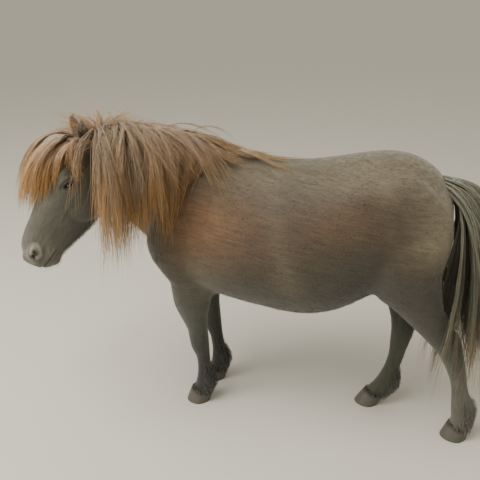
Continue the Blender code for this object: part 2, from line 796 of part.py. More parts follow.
def foot_cut(leg, name):
    """Ends a leg at its coronet."""
    origin, normal = coronet_plane(name)
    shape = bmesh.new()
    shape.from_mesh(leg.data)
    geometry = shape.verts[:] + shape.edges[:] + shape.faces[:]
    bmesh.ops.bisect_plane(shape, geom=geometry, plane_co=origin, plane_no=normal, clear_inner=True)
    bmesh.ops.holes_fill(shape, edges=[edge for edge in shape.edges if edge.is_boundary])
    bmesh.ops.triangulate(shape, faces=shape.faces)
    shape.to_mesh(leg.data)
    shape.free()
    return keep_largest(leg)


# Hair


def grown(thing, more):
    """A copy of the thing whose surface stands this much further out."""
    copy = copy_of(thing, "grown")
    count = len(copy.data.vertices)
    points = np.empty(count * 3)
    normals = np.empty(count * 3)
    copy.data.vertices.foreach_get("co", points)
    copy.data.vertices.foreach_get("normal", normals)
    copy.data.vertices.foreach_set("co", points + normals * more)
    return copy


def moved_about(thing):
    """Copies of a thing of thin locks, each moved a little one way: together they take in its gap too."""
    made = [copy_of(thing, "moved")]
    for axis in range(3):
        for way in (-HAIR_GAP, HAIR_GAP):
            step = Vector((0.0, 0.0, 0.0))
            step[axis] = way
            copy = copy_of(thing, "moved")
            copy.data.transform(Matrix.Translation(step))
            made.append(copy)
    return made


def tree_of(things):
    """A search tree of the things' faces, sorted, because the solver's order of faces varies by run."""
    points, faces = [], []
    for thing in things:
        first = len(points)
        points += [vertex.co.copy() for vertex in thing.data.vertices]
        for face in thing.data.polygons:
            ring = [first + k for k in face.vertices]
            lowest = ring.index(min(ring))
            faces.append(ring[lowest:] + ring[:lowest])
    return BVHTree.FromPolygons(points, sorted(faces))


def fall(skin, root, way, length, sag, lean, clear, steps=6):
    """A hair's line: it leaves the root one way, sags and leans, and keeps clear of the skin."""
    spots, outs = [Vector(root)], []
    way = Vector(way).normalized()
    pull = (Vector(lean) - UP) * sag
    for _ in range(steps):
        way = (way + pull).normalized()
        spot = spots[-1] + way * length / steps
        near, normal, _, _ = skin.find_nearest(spot)
        if (spot - near).dot(normal) < clear:
            spot = near + normal * clear
        away = (spot - near).normalized()
        way = (spot - spots[-1]).normalized()
        spots.append(spot)
        outs.append(away)
    return spots, [outs[0]] + outs


LOCK_SIDES = 3
WIDTHS = (0.45, 0.8, 1.0, 0.96, 0.82, 0.52)
DEPTHS = (0.8, 1.0, 1.0, 0.9, 0.7, 0.5)


def lock(name, spots, outs, half, thick):
    """A flat tapered lock that ends in a point: a low ridge on its outer face, and a flat inner face."""
    steps = len(spots) - 1
    points = []
    for k in range(steps):
        ahead = (spots[k + 1] - spots[max(k - 1, 0)]).normalized()
        side = ahead.cross(outs[k]).normalized()
        out = side.cross(ahead)
        share = k * (len(WIDTHS) - 1) / (steps - 1)
        wide = half * np.interp(share, range(len(WIDTHS)), WIDTHS)
        deep = thick * np.interp(share, range(len(DEPTHS)), DEPTHS)
        points += [spots[k] + side * wide, spots[k] + out * deep, spots[k] - side * wide]
    points.append(spots[-1])
    faces = [(2, 1, 0)]
    tip = LOCK_SIDES * steps
    for ring in range(steps):
        for k in range(LOCK_SIDES):
            a, b = ring * LOCK_SIDES + k, ring * LOCK_SIDES + (k + 1) % LOCK_SIDES
            above = (b + LOCK_SIDES, a + LOCK_SIDES) if ring < steps - 1 else (tip,)
            faces.append((a, b, *above))
    made = object_from(name, points, faces)
    face_outwards(made.data)
    return made


def crest_line(skin, count):
    """Places along the top of the neck from the withers to the poll, with the way along it."""
    rows = [(-0.27, 0.0), (-0.36, -0.01), (-0.45, -0.04), (-0.53, -0.088), (-0.6, -0.132), (-0.66, -0.168)]
    spots = []
    for x, y in spline(rows, count):
        spots.append(skin.ray_cast(Vector((x, y, 2.0)), -UP)[0])
    return spots


# How many locks a layer has, how steeply they rise from the crest and how far they clear the skin
MANE_LAYERS = ((7, 0.6, 0.008), (8, 1.4, 0.018), (9, 2.5, 0.03))
RIGHT_MANE = 8
RIGHT_MANE_LENGTH = (0.24, 0.32)
BLOWN_BACK = 5
FORELOCK_LAYERS = ((4, 0.15, 0.01), (4, 0.6, 0.025), (5, 0.95, 0.04))


def mane_locks(skin, draw):
    """(line, half width, thickness) of each lock: three layers to the left, one to the right, and blown back."""
    crest = crest_line(skin, 60)
    made = []

    def grow(share, side, length, rise, clear, half, lean):
        place = share * (len(crest) - 1)
        spot = crest[int(round(place))]
        ahead = crest[min(int(place) + 2, len(crest) - 1)] - crest[max(int(place) - 2, 0)]
        across = ahead.cross(UP).normalized() * side
        root = spot - UP * 0.014 + across * draw.uniform(-0.004, 0.01)
        way = across + UP * rise
        made.append((fall(skin, root, way, length, 0.62, lean, clear, 7), half, 0.28 * half))

    for count, rise, clear in MANE_LAYERS:
        for k in range(count):
            share = ((k + 0.5 + draw.uniform(-0.25, 0.25)) / count) ** 0.8
            length = 0.51 - 0.12 * (1 - share) + draw.uniform(-0.04, 0.02)
            lean = (-0.15 + 0.11 * share + draw.uniform(-0.04, 0.04), draw.uniform(-0.03, 0.02), 0)
            grow(share, LEFT, length, rise, clear, draw.uniform(0.022, 0.03), lean)
    for k in range(RIGHT_MANE):
        share = (k + 0.5 + draw.uniform(-0.25, 0.25)) / RIGHT_MANE
        lean = (draw.uniform(-0.1, 0.1), 0, 0)
        length = draw.uniform(*RIGHT_MANE_LENGTH)
        grow(share, RIGHT, length, 0.9, 0.012, draw.uniform(0.028, 0.034), lean)
    for k in range(BLOWN_BACK):
        spot = crest[int(3 + 4.5 * k)]
        way = (0.55, draw.uniform(-0.25, 0.15), 0.75)
        lean = (1.1, draw.uniform(-0.15, 0.1), 0.35)
        line = fall(skin, spot - UP * 0.014, way, draw.uniform(0.24, 0.33), 0.34, lean, 0.014 + 0.005 * k)
        made.append((line, draw.uniform(0.018, 0.023), 0.007))
    for place, reach in ((57, -0.5), (54, 0.1), (48, 0.6)):
        way = (reach, draw.uniform(-0.3, 0.0), 1.2)
        lean = (1.5 * reach, -0.2, 0.3)
        line = fall(skin, crest[place] - UP * 0.014, way, draw.uniform(0.13, 0.16), 0.25, lean, 0.02, 5)
        made.append((line, 0.01, 0.005))
    return made


def forelock_locks(skin, draw):
    """Locks that spring from the poll between the ears and fall over the brow and the eyes."""
    made = []
    for layer, (count, rise, clear) in enumerate(FORELOCK_LAYERS):
        for k in range(count):
            fan = (k + 0.5) / count * 1.7 - 0.7 + draw.uniform(-0.06, 0.06)
            root = on_head(0.026 * fan, 0.012 + 0.01 * layer, 0.035 - 0.014 * layer)
            near, normal, _, _ = skin.find_nearest(root)
            root = near - normal * 0.012
            way = head_way(0.3 * fan + 0.05, 0.6, 0.3) + UP * rise
            lean = tuple(HEAD_FACING * 0.08 + HEAD_LEFT * (0.02 + 0.12 * fan))
            length = 0.27 + 0.04 * layer + draw.uniform(-0.03, 0.02)
            line = fall(skin, root, way, length, 0.42, lean, clear, 6)
            made.append((line, draw.uniform(0.021, 0.027), 0.0065))
    return made


DOCK_RADII = (0.036, 0.036, 0.032, 0.028, 0.022)
DOCK = [(0.47, 0.0, 0.925), (0.512, 0.0, 0.916), (0.54, 0.003, 0.88), (0.55, 0.01, 0.83), (0.55, 0.018, 0.77)]
TAIL_TIP = 0.13
TAIL_LOCKS = 21
GOLDEN_SHARE = 0.618


def tail_locks(skin, draw):
    """Locks from the dock that hang to the fetlocks: the higher a lock's root, the further out it falls."""
    made = []
    dock = spline(DOCK, 30)
    for k in range(TAIL_LOCKS):
        share = (k + 0.5) / TAIL_LOCKS
        fan = 2 * ((k * GOLDEN_SHARE) % 1.0) - 1
        turn = math.pi * fan * (0.4 + 0.6 * share)
        spot = Vector(dock[int(3 + share * 26)])
        out = Vector((math.cos(turn), math.sin(turn), 0.0)) * (1.35 - 0.85 * share)
        way = Vector((0.35 + 0.65 * out.x, 0.45 * out.y, 0.1 - 0.8 * share))
        bottom = TAIL_TIP + draw.uniform(0.0, 0.2) * (0.3 + share * 0.4)
        lean = (0.01 + out.x * (0.1 if out.x > 0 else 0.2), 0.025 + 0.05 * out.y, 0)
        line = fall(skin, spot, way, (spot.z - bottom) * 1.06, 0.9, lean, 0.012, 6)
        made.append((line, draw.uniform(0.026, 0.034), 0.009))
    return made


def dock_flesh():
    count = 12
    radii = np.interp(range(count), np.linspace(0, count - 1, len(DOCK)), DOCK_RADII)
    return tube("dock", spline(DOCK, count), radii, 10)


def hair(name, lines, core, near, hairy=()):
    """Fuses the locks with their core and cuts them clear of the pieces near them."""
    locks = [lock("lock", *line, half, thick) for line, half, thick in lines]
    made = boolean(core, locks, "UNION", "MANIFOLD")
    keep_largest(made)
    cutters = [grown(piece, GAP * 1.5) for piece in near]
    for piece in hairy:
        cutters += moved_about(piece)
    boolean(made, cutters, "DIFFERENCE", "MANIFOLD")
    made = keep_largest(made)
    made.name = name
    return made


def flesh_pieces():
    pieces = [trunk(), neck()]
    for side in (LEFT, RIGHT):
        pieces.append(shoulder(side))
    pieces += [fore_leg(LEFT, 0.0), fore_leg(RIGHT, RIGHT_FORE_BACK)]
    for centres in (LEFT_HIND, RIGHT_HIND):
        pieces += [hind_leg(centres), hock_point(centres)]
    return pieces + body_muscles()


def head_pieces():
    return [skull()] + head_forms(LEFT) + head_forms(RIGHT) + head_middle()


def make_head():
    """The head in finer clay than the body, with its mouth, nostrils and lids."""
    head = as_clay(joined("head", [neck()] + head_pieces()), HEAD_VOXEL, HEAD_SOFTENING, HEAD_TRIANGLES)
    room, larger = head_rooms()
    remove([larger])
    keep_largest(boolean(head, [room], "INTERSECT"))
    boolean(head, lid_forms(LEFT) + lid_forms(RIGHT), "UNION", "MANIFOLD")
    cuts = [nostril_cut(LEFT), nostril_cut(RIGHT), mouth_cut(tree_of([head]))]
    boolean(head, cuts + lid_cuts(LEFT) + lid_cuts(RIGHT), "DIFFERENCE", "MANIFOLD")
    return keep_largest(head)


def make_body():
    """The torso, neck and legs in one clay, parted; the neck ends where the head begins."""
    torso = as_clay(joined("torso", flesh_pieces() + head_pieces()), BODY_VOXEL, BODY_SOFTENING, BODY_TRIANGLES)
    remove([part_off(torso, "spare", head_rooms())])
    neck_piece = part_off(torso, "neck", neck_rooms())
    legs = {}
    for side, which in ((LEFT, "left"), (RIGHT, "right")):
        fore = leg_rooms(side, -0.6, -0.236, 0.45, -0.12, 0.6)
        legs[which + "_fore"] = part_off(torso, which + "_fore_leg", fore)
        hind = leg_rooms(side, 0.21, 0.8, 0.47, 0.62, 0.3)
        legs[which + "_hind"] = part_off(torso, which + "_hind_leg", hind)
    for name, leg in legs.items():
        foot_cut(leg, name)
    return keep_largest(torso), neck_piece, legs


def recentre(nodes):
    """Moves everything so that the origin is the middle of the bounding box at the floor."""
    points = np.concatenate([np.array([vertex.co[:] for vertex in node.data.vertices]) for node in nodes])
    middle = (points.min(axis=0) + points.max(axis=0)) / 2
    for node in nodes:
        node.data.transform(Matrix.Translation((-middle[0], -middle[1], 0.0)))


def main():
    clear_scene()
    torso, neck_piece, legs = make_body()
    head = make_head()
    eyes, ears, hooves = [], [], [hoof(name) for name in legs]
    for side, which in ((LEFT, "left"), (RIGHT, "right")):
        eyes.append(eye(side, which + "_eye"))
        piece = ear(side, which + "_ear")
        boolean(piece, [grown(head, GAP * 1.2)], "DIFFERENCE", "MANIFOLD")
        ears.append(keep_largest(piece))

    flesh = [torso, head, neck_piece] + list(legs.values())
    skin = tree_of(flesh + ears)
    lines = mane_locks(tree_of(flesh), np.random.default_rng(MANE_SEED))
    crest = [tuple(spot - UP * 0.004) for spot in crest_line(tree_of(flesh), 24)]
    ridge = tube("ridge", crest, [0.02] * len(crest), 8)
    tuft = ball("tuft", on_head(0, 0.02, 0.02), (0.045, 0.03, 0.034), HEAD_AXES, 6, 10)
    mane = hair("mane", lines, ridge, [torso, neck_piece, head, tuft], ears)

    lines = forelock_locks(skin, np.random.default_rng(FORELOCK_SEED))
    forelock = hair("forelock", lines, tuft, [head, neck_piece] + eyes, [mane] + ears)

    lines = tail_locks(skin, np.random.default_rng(TAIL_SEED))
    tail = hair("tail", lines, dock_flesh(), [torso, legs["left_hind"], legs["right_hind"]])

    looks = {"coat": [torso, neck_piece], "face": [head] + ears, "leg": list(legs.values())}
    looks.update({"mane": [mane, forelock], "tail": [tail], "horn": hooves, "eye": eyes})
    nodes = []
    for look, wearers in looks.items():
        for node in wearers:
            node.data.shade_smooth()
            node.data.set_sharp_from_angle(angle=SMOOTH_BELOW)
            node.data.materials.clear()
            node.data.materials.append(material(node.name, *LOOKS[look]))
            nodes.append(node)
    recentre(nodes)


main()
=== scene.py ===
# %% [markdown]
# A Shetland pony in its short summer coat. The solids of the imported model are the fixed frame:
# they say how large the pony is and how it stands. This lesson dresses them. One closed skin takes
# the place of the flesh, with folds, lids and nostrils. Short tufts lie over it, and long locks make
# the mane, the forelock and the tail. Every shape is worked out with numpy as whole arrays.

# %% Load the frame
import math

import bmesh
import bpy
import numpy as np
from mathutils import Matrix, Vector
from mathutils.bvhtree import BVHTree


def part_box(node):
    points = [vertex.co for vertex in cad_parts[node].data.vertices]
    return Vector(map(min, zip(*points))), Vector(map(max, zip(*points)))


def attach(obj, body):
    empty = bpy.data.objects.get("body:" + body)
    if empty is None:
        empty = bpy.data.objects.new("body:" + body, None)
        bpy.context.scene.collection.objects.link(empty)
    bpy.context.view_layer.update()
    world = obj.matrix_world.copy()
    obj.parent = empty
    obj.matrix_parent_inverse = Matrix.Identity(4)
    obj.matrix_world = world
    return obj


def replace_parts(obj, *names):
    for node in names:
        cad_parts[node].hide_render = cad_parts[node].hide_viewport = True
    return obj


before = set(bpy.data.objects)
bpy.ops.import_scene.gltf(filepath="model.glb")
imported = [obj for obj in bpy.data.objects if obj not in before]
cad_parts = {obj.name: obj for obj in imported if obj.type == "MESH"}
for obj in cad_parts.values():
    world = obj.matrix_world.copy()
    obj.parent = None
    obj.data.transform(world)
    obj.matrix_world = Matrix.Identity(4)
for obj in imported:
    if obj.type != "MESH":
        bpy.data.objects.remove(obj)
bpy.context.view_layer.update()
scene = bpy.context.scene

# %% [markdown]
# The measures below start at a point on the floor below the chest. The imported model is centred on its
# own box instead, so the near fore hoof, whose place is known in both, gives the step between them.

# %% The pony's own measures
FORE_HOOF = np.array([-0.3423, -0.08])
low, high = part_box("left_fore_hoof")
SHIFT = np.array([(low.x + high.x) / 2 - FORE_HOOF[0], (low.y + high.y) / 2 - FORE_HOOF[1], 0.0])
UP = np.array([0.0, 0.0, 1.0])
LEFT, RIGHT = -1.0, 1.0
HEAD_TURN = math.radians(41.5)
HEAD_DROP = math.radians(60.0)
POLL = np.array([-0.655, -0.165, 1.045])
HEAD_FACING = np.array([-math.cos(HEAD_TURN), -math.sin(HEAD_TURN), 0.0])
HEAD_LEFT = np.array([math.sin(HEAD_TURN), -math.cos(HEAD_TURN), 0.0])
HEAD_ALONG = HEAD_FACING * math.cos(HEAD_DROP) - UP * math.sin(HEAD_DROP)
HEAD_FRONT = HEAD_FACING * math.sin(HEAD_DROP) + UP * math.cos(HEAD_DROP)
HEAD_AXES = np.stack([HEAD_LEFT, HEAD_FRONT, HEAD_ALONG])


def unit(vectors):
    """Each vector divided by its own length."""
    return vectors / np.maximum(np.linalg.norm(vectors, axis=-1, keepdims=True), 1e-12)


def rows(x, y, z):
    """Rows of x, y and z. A plain number holds for every row."""
    return np.stack(np.broadcast_arrays(x, y, z), axis=-1)


def on_head(side, out, front, along):
    """A place on one side of the head: how far out, forward of the brow line, and from poll to nose."""
    return POLL + np.array([-side * out, front, along]) @ HEAD_AXES


def in_head(points):
    """The same three measures of places in the pony's frame, with its left counted above zero."""
    return (points - POLL) @ HEAD_AXES.T


def ramp(values, start, end):
    """0 before start, 1 after end, and 3t^2 - 2t^3 between them."""
    share = np.clip((values - start) / (end - start), 0.0, 1.0)
    return share * share * (3 - 2 * share)


def bell(values, width):
    """The bell curve e^-(v/width)^2: 1 at 0 and near 0 beyond twice the width."""
    return np.exp(-((values / width) ** 2))


print("step from the pony's measures to the frame:", SHIFT.round(4))

# %% [markdown]
# The camera stands where the photographer stood, at head height, and looks down by about 22 degrees.
# A lens of 45 mm on a 36 mm sensor has the field of view that the hooves on the ground call for.

# %% Camera
CAMERA_PLACE = np.array([0.293, -1.961, 1.5])
CAMERA_TURN = math.radians(14.0)
PICTURE_PIXELS, FOCAL_PIXELS, BELOW_HORIZON = 480, 600, 248
CAMERA_DROP = math.atan(BELOW_HORIZON / FOCAL_PIXELS)
SENSOR = 36


def placed(name, data):
    """A new object in the scene that shows this mesh, camera or lamp."""
    thing = bpy.data.objects.new(name, data)
    scene.collection.objects.link(thing)
    return thing


camera = placed("camera", bpy.data.cameras.new("camera"))
camera.data.lens = SENSOR * FOCAL_PIXELS / PICTURE_PIXELS
camera.data.sensor_width = SENSOR
camera.location = CAMERA_PLACE + SHIFT
looking = Vector((-math.sin(CAMERA_TURN), math.cos(CAMERA_TURN), -math.tan(CAMERA_DROP)))
camera.rotation_euler = looking.to_track_quat("-Z", "Y").to_euler()
scene.camera = camera
print("camera at", tuple(round(v, 3) for v in camera.location))

# %% [markdown]
# Two helpers serve every material: one turns a hex colour, as picked on a screen, into the linear light
# that shaders reckon with, and one adds a node with its settings and links.


# %% Colour and node helpers
def linear(code):
    """A hex colour in linear light: c / 12.92 when dark, otherwise ((c + 0.055) / 1.055)^2.4."""
    values = np.array([int(code[k : k + 2], 16) / 255 for k in (1, 3, 5)])
    return np.where(values <= 0.04045, values / 12.92, ((values + 0.055) / 1.055) ** 2.4)


def rgba(code):
    """A hex colour as the four numbers of a colour socket."""
    return (*linear(code), 1.0)


def add(tree, kind, settings=(), **sockets):
    """Adds a node: settings are its properties. Each socket gets a value or the socket that feeds it."""
    node = tree.nodes.new("ShaderNode" + kind)
    for name, value in dict(settings).items():
        setattr(node, name, value)
    for name, value in sockets.items():
        key = int(name[1:]) if name[0] == "i" and name[1:].isdigit() else name.replace("_", " ")
        if isinstance(value, bpy.types.NodeSocket):
            tree.links.new(value, node.inputs[key])
        else:
            node.inputs[key].default_value = value
    return node


def new_material(name, **look):
    """A material, its tree and its Principled shader, whose own sockets are set to the values in look."""
    material = bpy.data.materials.new(name)
    material.use_nodes = True
    shader = material.node_tree.nodes["Principled BSDF"]
    for socket, value in look.items():
        shader.inputs[socket.replace("_", " ")].default_value = value
    return material, material.node_tree, shader


print("mid grey #808080 is", linear("#808080")[0].round(3), "in linear light")

# %% [markdown]
# Meshes come from arrays. All faces of a piece have the same number of corners, so the whole table of
# faces is written in one call, and so are the colours of the points and the UV map for baking.


# %% Mesh helpers
def mark(mesh, colours):
    """Writes a colour for each point into the layer that the materials read."""
    # The layer holds each point's colour, with the painted light and shade of the coat and the hair.
    layer = mesh.color_attributes.new("markings_and_painted_light", "FLOAT_COLOR", "POINT")
    with_alpha = np.hstack([colours, np.ones((len(colours), 1))])
    layer.data.foreach_set("color", with_alpha.astype(np.float32).ravel())


def ringed(rings, sides):
    """The triangles of a closed skin over rings of points, whose last two points close its two ends."""
    first = np.arange(rings - 1)[:, None] * sides + np.arange(sides)[None]
    ahead = np.roll(first, -1, axis=1)
    walls = np.stack([first, first + sides, ahead + sides, first, ahead + sides, ahead], axis=2)
    start = rows(rings * sides, first[0], ahead[0])
    end = rows(rings * sides + 1, ahead[-1] + sides, first[-1] + sides)
    return np.concatenate([walls.reshape(-1, 3), start, end])


def new_piece(name, points, faces, material, colours, places=None, smooth=True):
    """A mesh object from an array of points in the pony's measures and an array of faces."""
    mesh = bpy.data.meshes.new(name)
    mesh.vertices.add(len(points))
    mesh.vertices.foreach_set("co", (points + SHIFT).astype(np.float32).ravel())
    mesh.loops.add(faces.size)
    mesh.loops.foreach_set("vertex_index", faces.astype(np.int32).ravel())
    mesh.polygons.add(len(faces))
    mesh.polygons.foreach_set("loop_start", np.arange(0, faces.size, faces.shape[1], dtype=np.int32))
    mesh.update(calc_edges=True)
    if smooth:
        mesh.shade_smooth()
    mark(mesh, colours)
    if places is not None:
        layer = mesh.uv_layers.new(name="OFBake")
        layer.data.foreach_set("uv", places[faces.ravel()].astype(np.float32).ravel())
    mesh.materials.append(material)
    piece = placed(name, mesh)
    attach(piece, "root")
    print(name, ":", len(faces) * (faces.shape[1] - 2), "triangles")
    return piece


def read(mesh, value):
    """Three numbers for each point: "co" is its place in the frame, and "normal" the way out."""
    values = np.empty(len(mesh.vertices) * 3)
    mesh.vertices.foreach_get(value, values)
    return values.reshape(-1, 3)


def points_of(mesh):
    """The places of a mesh's points, in the pony's measures."""
    return read(mesh, "co") - SHIFT


def loose(name, points, faces):
    """A plain mesh object without colours, in the frame's measures."""
    mesh = bpy.data.meshes.new(name)
    mesh.from_pydata(points.tolist(), [], faces)
    return placed(name, mesh)


def settled(thing):
    """Bakes the object's modifiers into its mesh."""
    made = bpy.data.meshes.new_from_object(thing.evaluated_get(bpy.context.evaluated_depsgraph_get()))
    thing.modifiers.clear()
    thing.data = made


print("a closed skin over 3 rings of 4 points has", len(ringed(3, 4)), "triangles")

# %% [markdown]
# The skin. The solids part the pony into head, neck, trunk, ears and legs, with a hair's breadth between
# them. A live animal has no such seams, so the copies are grown a little until they meet, and a voxel
# remesh at 3 mm pours them into one surface.

# %% Pour the flesh into one surface
FLESH = ("head", "neck", "torso", "left_ear", "right_ear", "left_fore_leg", "right_fore_leg")
FLESH += ("left_hind_leg", "right_hind_leg")
VOXEL = 0.003
MEET = 0.0005


def flesh_copy(name):
    """A CAD node's points and triangles, merged and grown along its normals."""
    shape = bmesh.new()
    shape.from_mesh(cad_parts[name].data)
    bmesh.ops.remove_doubles(shape, verts=shape.verts, dist=0.00002)
    mesh = bpy.data.meshes.new(name + " copy")
    shape.to_mesh(mesh)
    shape.free()
    faces = np.empty(len(mesh.polygons) * 3, dtype=np.int32)
    mesh.polygons.foreach_get("vertices", faces)
    return read(mesh, "co") + read(mesh, "normal") * MEET - SHIFT, faces.reshape(-1, 3)


parts = [flesh_copy(name) for name in FLESH]
starts = np.cumsum([0] + [len(points) for points, _ in parts[:-1]])
flesh_points = np.concatenate([points for points, _ in parts]) + SHIFT
flesh_faces = np.concatenate([faces + start for (_, faces), start in zip(parts, starts)])
skin = loose("skin", flesh_points, flesh_faces.tolist())
pour = skin.modifiers.new("pour", "REMESH")
pour.mode = "VOXEL"
pour.voxel_size = VOXEL
settled(skin)
print("poured skin:", len(skin.data.vertices), "points")

# %% [markdown]
# The next steps treat the face, the ears and the legs with more care than the trunk. Each region is a
# share from 0 to 1 that depends on the place alone and fades at its edge, so no step leaves a seam.


# %% Where each region of the body is
def regions(points):
    """Shares from 0 to 1: how far points belong to the head, legs, ears and the features of the face."""
    out, front, along = in_head(points).T
    side = np.abs(out)
    head = ramp(along, -0.03, 0.05) * ramp(-side, -0.15, -0.11) * ramp(front, -0.2, -0.13)
    leg = ramp(-points[:, 2], -0.5, -0.4) * ramp(points[:, 0], -0.55, -0.5)
    ear = ramp(front - along, 0.06, 0.085) * ramp(-along, -0.06, -0.03) * (side < 0.12) * (front < 0.2)
    eye = np.linalg.norm(np.stack([side - 0.066, front - 0.036, along - 0.158]), axis=0)
    nostril = np.linalg.norm(np.stack([side - 0.047, front - 0.036, along - 0.42]), axis=0)
    face = np.maximum(ramp(-eye, -0.036, -0.02), ramp(-nostril, -0.036, -0.022))
    mouth = ramp(along, 0.37, 0.4) * ramp(-np.abs(front + 0.014), -0.02, -0.008)
    return {"head": head, "leg": leg, "ear": ear, "face": np.maximum(face, mouth)}


print("shares at the poll:", {name: float(share[0].round(2)) for name, share in regions(POLL[None]).items()})

# %% [markdown]
# The poured surface has small steps. Each round moves a point part of the way to the mean of its
# neighbours. The spared share of a region says how much less its points move than those of the trunk.

# %% Even out the facets
ROUNDS = 120
SPARED = {"head": 0.75, "leg": 0.6, "ear": 0.94, "face": 0.85}
GROUP_STEPS = 16


def weigh(thing, name, share):
    """A vertex group that holds each point's share, in steps of a sixteenth."""
    group = thing.vertex_groups.new(name=name)
    steps = (share * GROUP_STEPS).round()
    for level in np.unique(steps):
        group.add(np.flatnonzero(steps == level).tolist(), float(level / GROUP_STEPS), "REPLACE")


zone = regions(points_of(skin.data))
weigh(skin, "even", math.prod(1 - spared * zone[name] for name, spared in SPARED.items()))
even = skin.modifiers.new("even", "SMOOTH")
even.factor = 0.7
even.iterations = ROUNDS
even.vertex_group = "even"
settled(skin)
print("evened", ROUNDS, "rounds")

# %% [markdown]
# The face needs points every 3 mm and the trunk doesn't, so the trunk is thinned and the face is kept.

# %% Thin the skin away from the face
SKIN_TRIANGLES = 188000
zone = regions(points_of(skin.data))
weigh(skin, "thin", 0.55 - 0.1 * zone["leg"] - 0.5 * np.maximum(zone["head"], zone["ear"]))
thin = skin.modifiers.new("thin", "DECIMATE")
thin.ratio = SKIN_TRIANGLES / (2 * len(skin.data.polygons))
thin.vertex_group = "thin"
settled(skin)
print("thinned skin:", len(skin.data.polygons), "faces")

# %% [markdown]
# Now the face is modelled in the head's own measures. Each fold is a bell curve of the distance to a
# line or a ring, added along the normal: the rim of the nostril, the line of the mouth, the fold over
# the upper lid and the bag under the lower one, the facial crest and the edge of the cheek. The whole
# skin then sinks by the depth of its coat, so that the tufts fill the solids' outline.

# %% Folds of the face
COAT_DEPTH = 0.0035
NOSTRIL = (0.049, 0.036, 0.413)
NOSTRIL_LONG, NOSTRIL_WIDE = 0.0185, 0.012
EYE = (0.062, 0.034, 0.158)
EYE_RADIUS = 0.0185
LID_LONG, LID_WIDE = 0.021, 0.013


def eye_frame(side):
    """The way along the slit towards the nose, the way up across it, and straight out of the eye."""
    out = unit(np.array([-side * 0.93, 0.33, 0.02]) @ HEAD_AXES)
    slit = np.array([0.0, 0.5, 0.87]) @ HEAD_AXES
    slit = unit(slit - out * (slit @ out))
    across = np.cross(out, slit)
    return np.stack([slit, across * np.sign(across @ UP), out])


def nostril_frame(side):
    """Into the nostril, along its comma, and across the comma."""
    deep = unit(np.array([-side * 0.8, 0.42, 0.45]) @ HEAD_AXES)
    long = np.array([side * 0.1, 0.75, -0.65]) @ HEAD_AXES
    long = unit(long - deep * (long @ deep))
    return np.stack([deep, long, np.cross(deep, long)])


def nostril_folds(points, side):
    """A raised rim round the comma, a shallow dip round the rim, and the painted shade of the hole."""
    deep, long, wide = nostril_frame(side) @ (points - on_head(side, *NOSTRIL)).T
    ring = np.hypot(long / NOSTRIL_LONG, wide / NOSTRIL_WIDE)
    open_side = np.abs(deep) < 0.03
    hole = np.hypot((long + 0.002) / 0.012, (wide - 0.003) / 0.0055)
    rise = 0.003 * bell(ring - 1.1, 0.32) - 0.003 * ramp(-hole, -1.5, -0.3) - 0.001 * bell(ring - 1.8, 0.3)
    return open_side * rise, open_side * 0.9 * ramp(-hole, -1.25, -0.75)


def eye_folds(points, side):
    """Both lids' edges, the fold over the upper lid with the groove below it, and the bag under the eye,
    with painted shade in the groove and along the lids' edges.
    """
    along, up, out = eye_frame(side) @ (points - on_head(side, *EYE)).T
    ring = np.hypot(along / LID_LONG, up / LID_WIDE)
    outer = (out > 0) & (ring < 4)
    above = ramp(up, -0.004, 0.006)
    rise = 0.0012 * bell(ring - 1.0, 0.3) + 0.0028 * above * bell(ring - 1.7, 0.3)
    rise -= 0.0014 * above * bell(ring - 1.3, 0.14) + 0.0008 * (1 - above) * bell(ring - 1.6, 0.2)
    return outer * rise, outer * (0.75 * above * bell(ring - 1.3, 0.12) + 0.6 * bell(ring - 0.9, 0.2))


def closed_lids(points, side):
    """Draws the lids' edges together into an almond, and keeps them a millimetre outside the eyeball."""
    frame_rows, middle = eye_frame(side), on_head(side, *EYE)
    local = (points - middle) @ frame_rows.T
    near = (local[:, 2] > 0.004) & (np.linalg.norm(local, axis=1) < 0.04)
    ring = np.hypot(local[:, 0] / LID_LONG, local[:, 1] / LID_WIDE)
    local[:, 1] *= 1 - 0.36 * near * bell(ring - 0.95, 0.4) * ramp(-np.abs(local[:, 0]), -0.03, -0.01)
    reach = np.linalg.norm(local, axis=1)
    least = EYE_RADIUS * 1.05 + 0.0009
    local *= np.where(near & (reach < least), least / reach, 1.0)[:, None]
    return local @ frame_rows + middle


def mouth_folds(front, along):
    """The line between the lips, with a soft edge on either side, and painted shade along the line."""
    back = np.clip((0.475 - along) / 0.09, 0, 1)
    lips = front + 0.008 + 0.02 * back
    mouth = ramp(along, 0.375, 0.405)
    rise = 0.0012 * (bell(lips - 0.008, 0.005) + bell(lips + 0.008, 0.005)) - 0.0032 * bell(lips, 0.0026)
    return mouth * rise, mouth * bell(lips, 0.0022)


def cheek_folds(side, front, along):
    """The bony crest below the eye, the edge of the cheek, and small wrinkles behind the nostrils."""
    crest = 0.0022 * bell(front - 0.012 + 0.1 * (along - 0.2), 0.007) * ramp(along, 0.19, 0.22)
    crest *= ramp(-along, -0.31, -0.27) * (side > 0.03)
    edge = np.hypot((front + 0.045) / 0.07, (along - 0.185) / 0.083)
    jaw = 0.0011 * bell(edge - 1.02, 0.13) * (side > 0.02) * ramp(along, 0.15, 0.2)
    wave = np.sin(along * 310 + front * 90) * np.sin(front * 260 - along * 60)
    return crest - jaw + 0.0004 * wave * ramp(along, 0.3, 0.4)


def folds(points):
    """How far each point of the face stands out, and how much painted shade it gets in a hole or a crease.
    """
    out, front, along = in_head(points).T
    rise, crease = mouth_folds(front, along)
    rise = rise + cheek_folds(np.abs(out), front, along)
    for side in (LEFT, RIGHT):
        for fold in (nostril_folds, eye_folds):
            more, deeper = fold(points, side)
            rise = rise + more
            crease = crease + deeper
    head = regions(points)["head"]
    return rise * head, np.clip(crease * head, 0, 1)


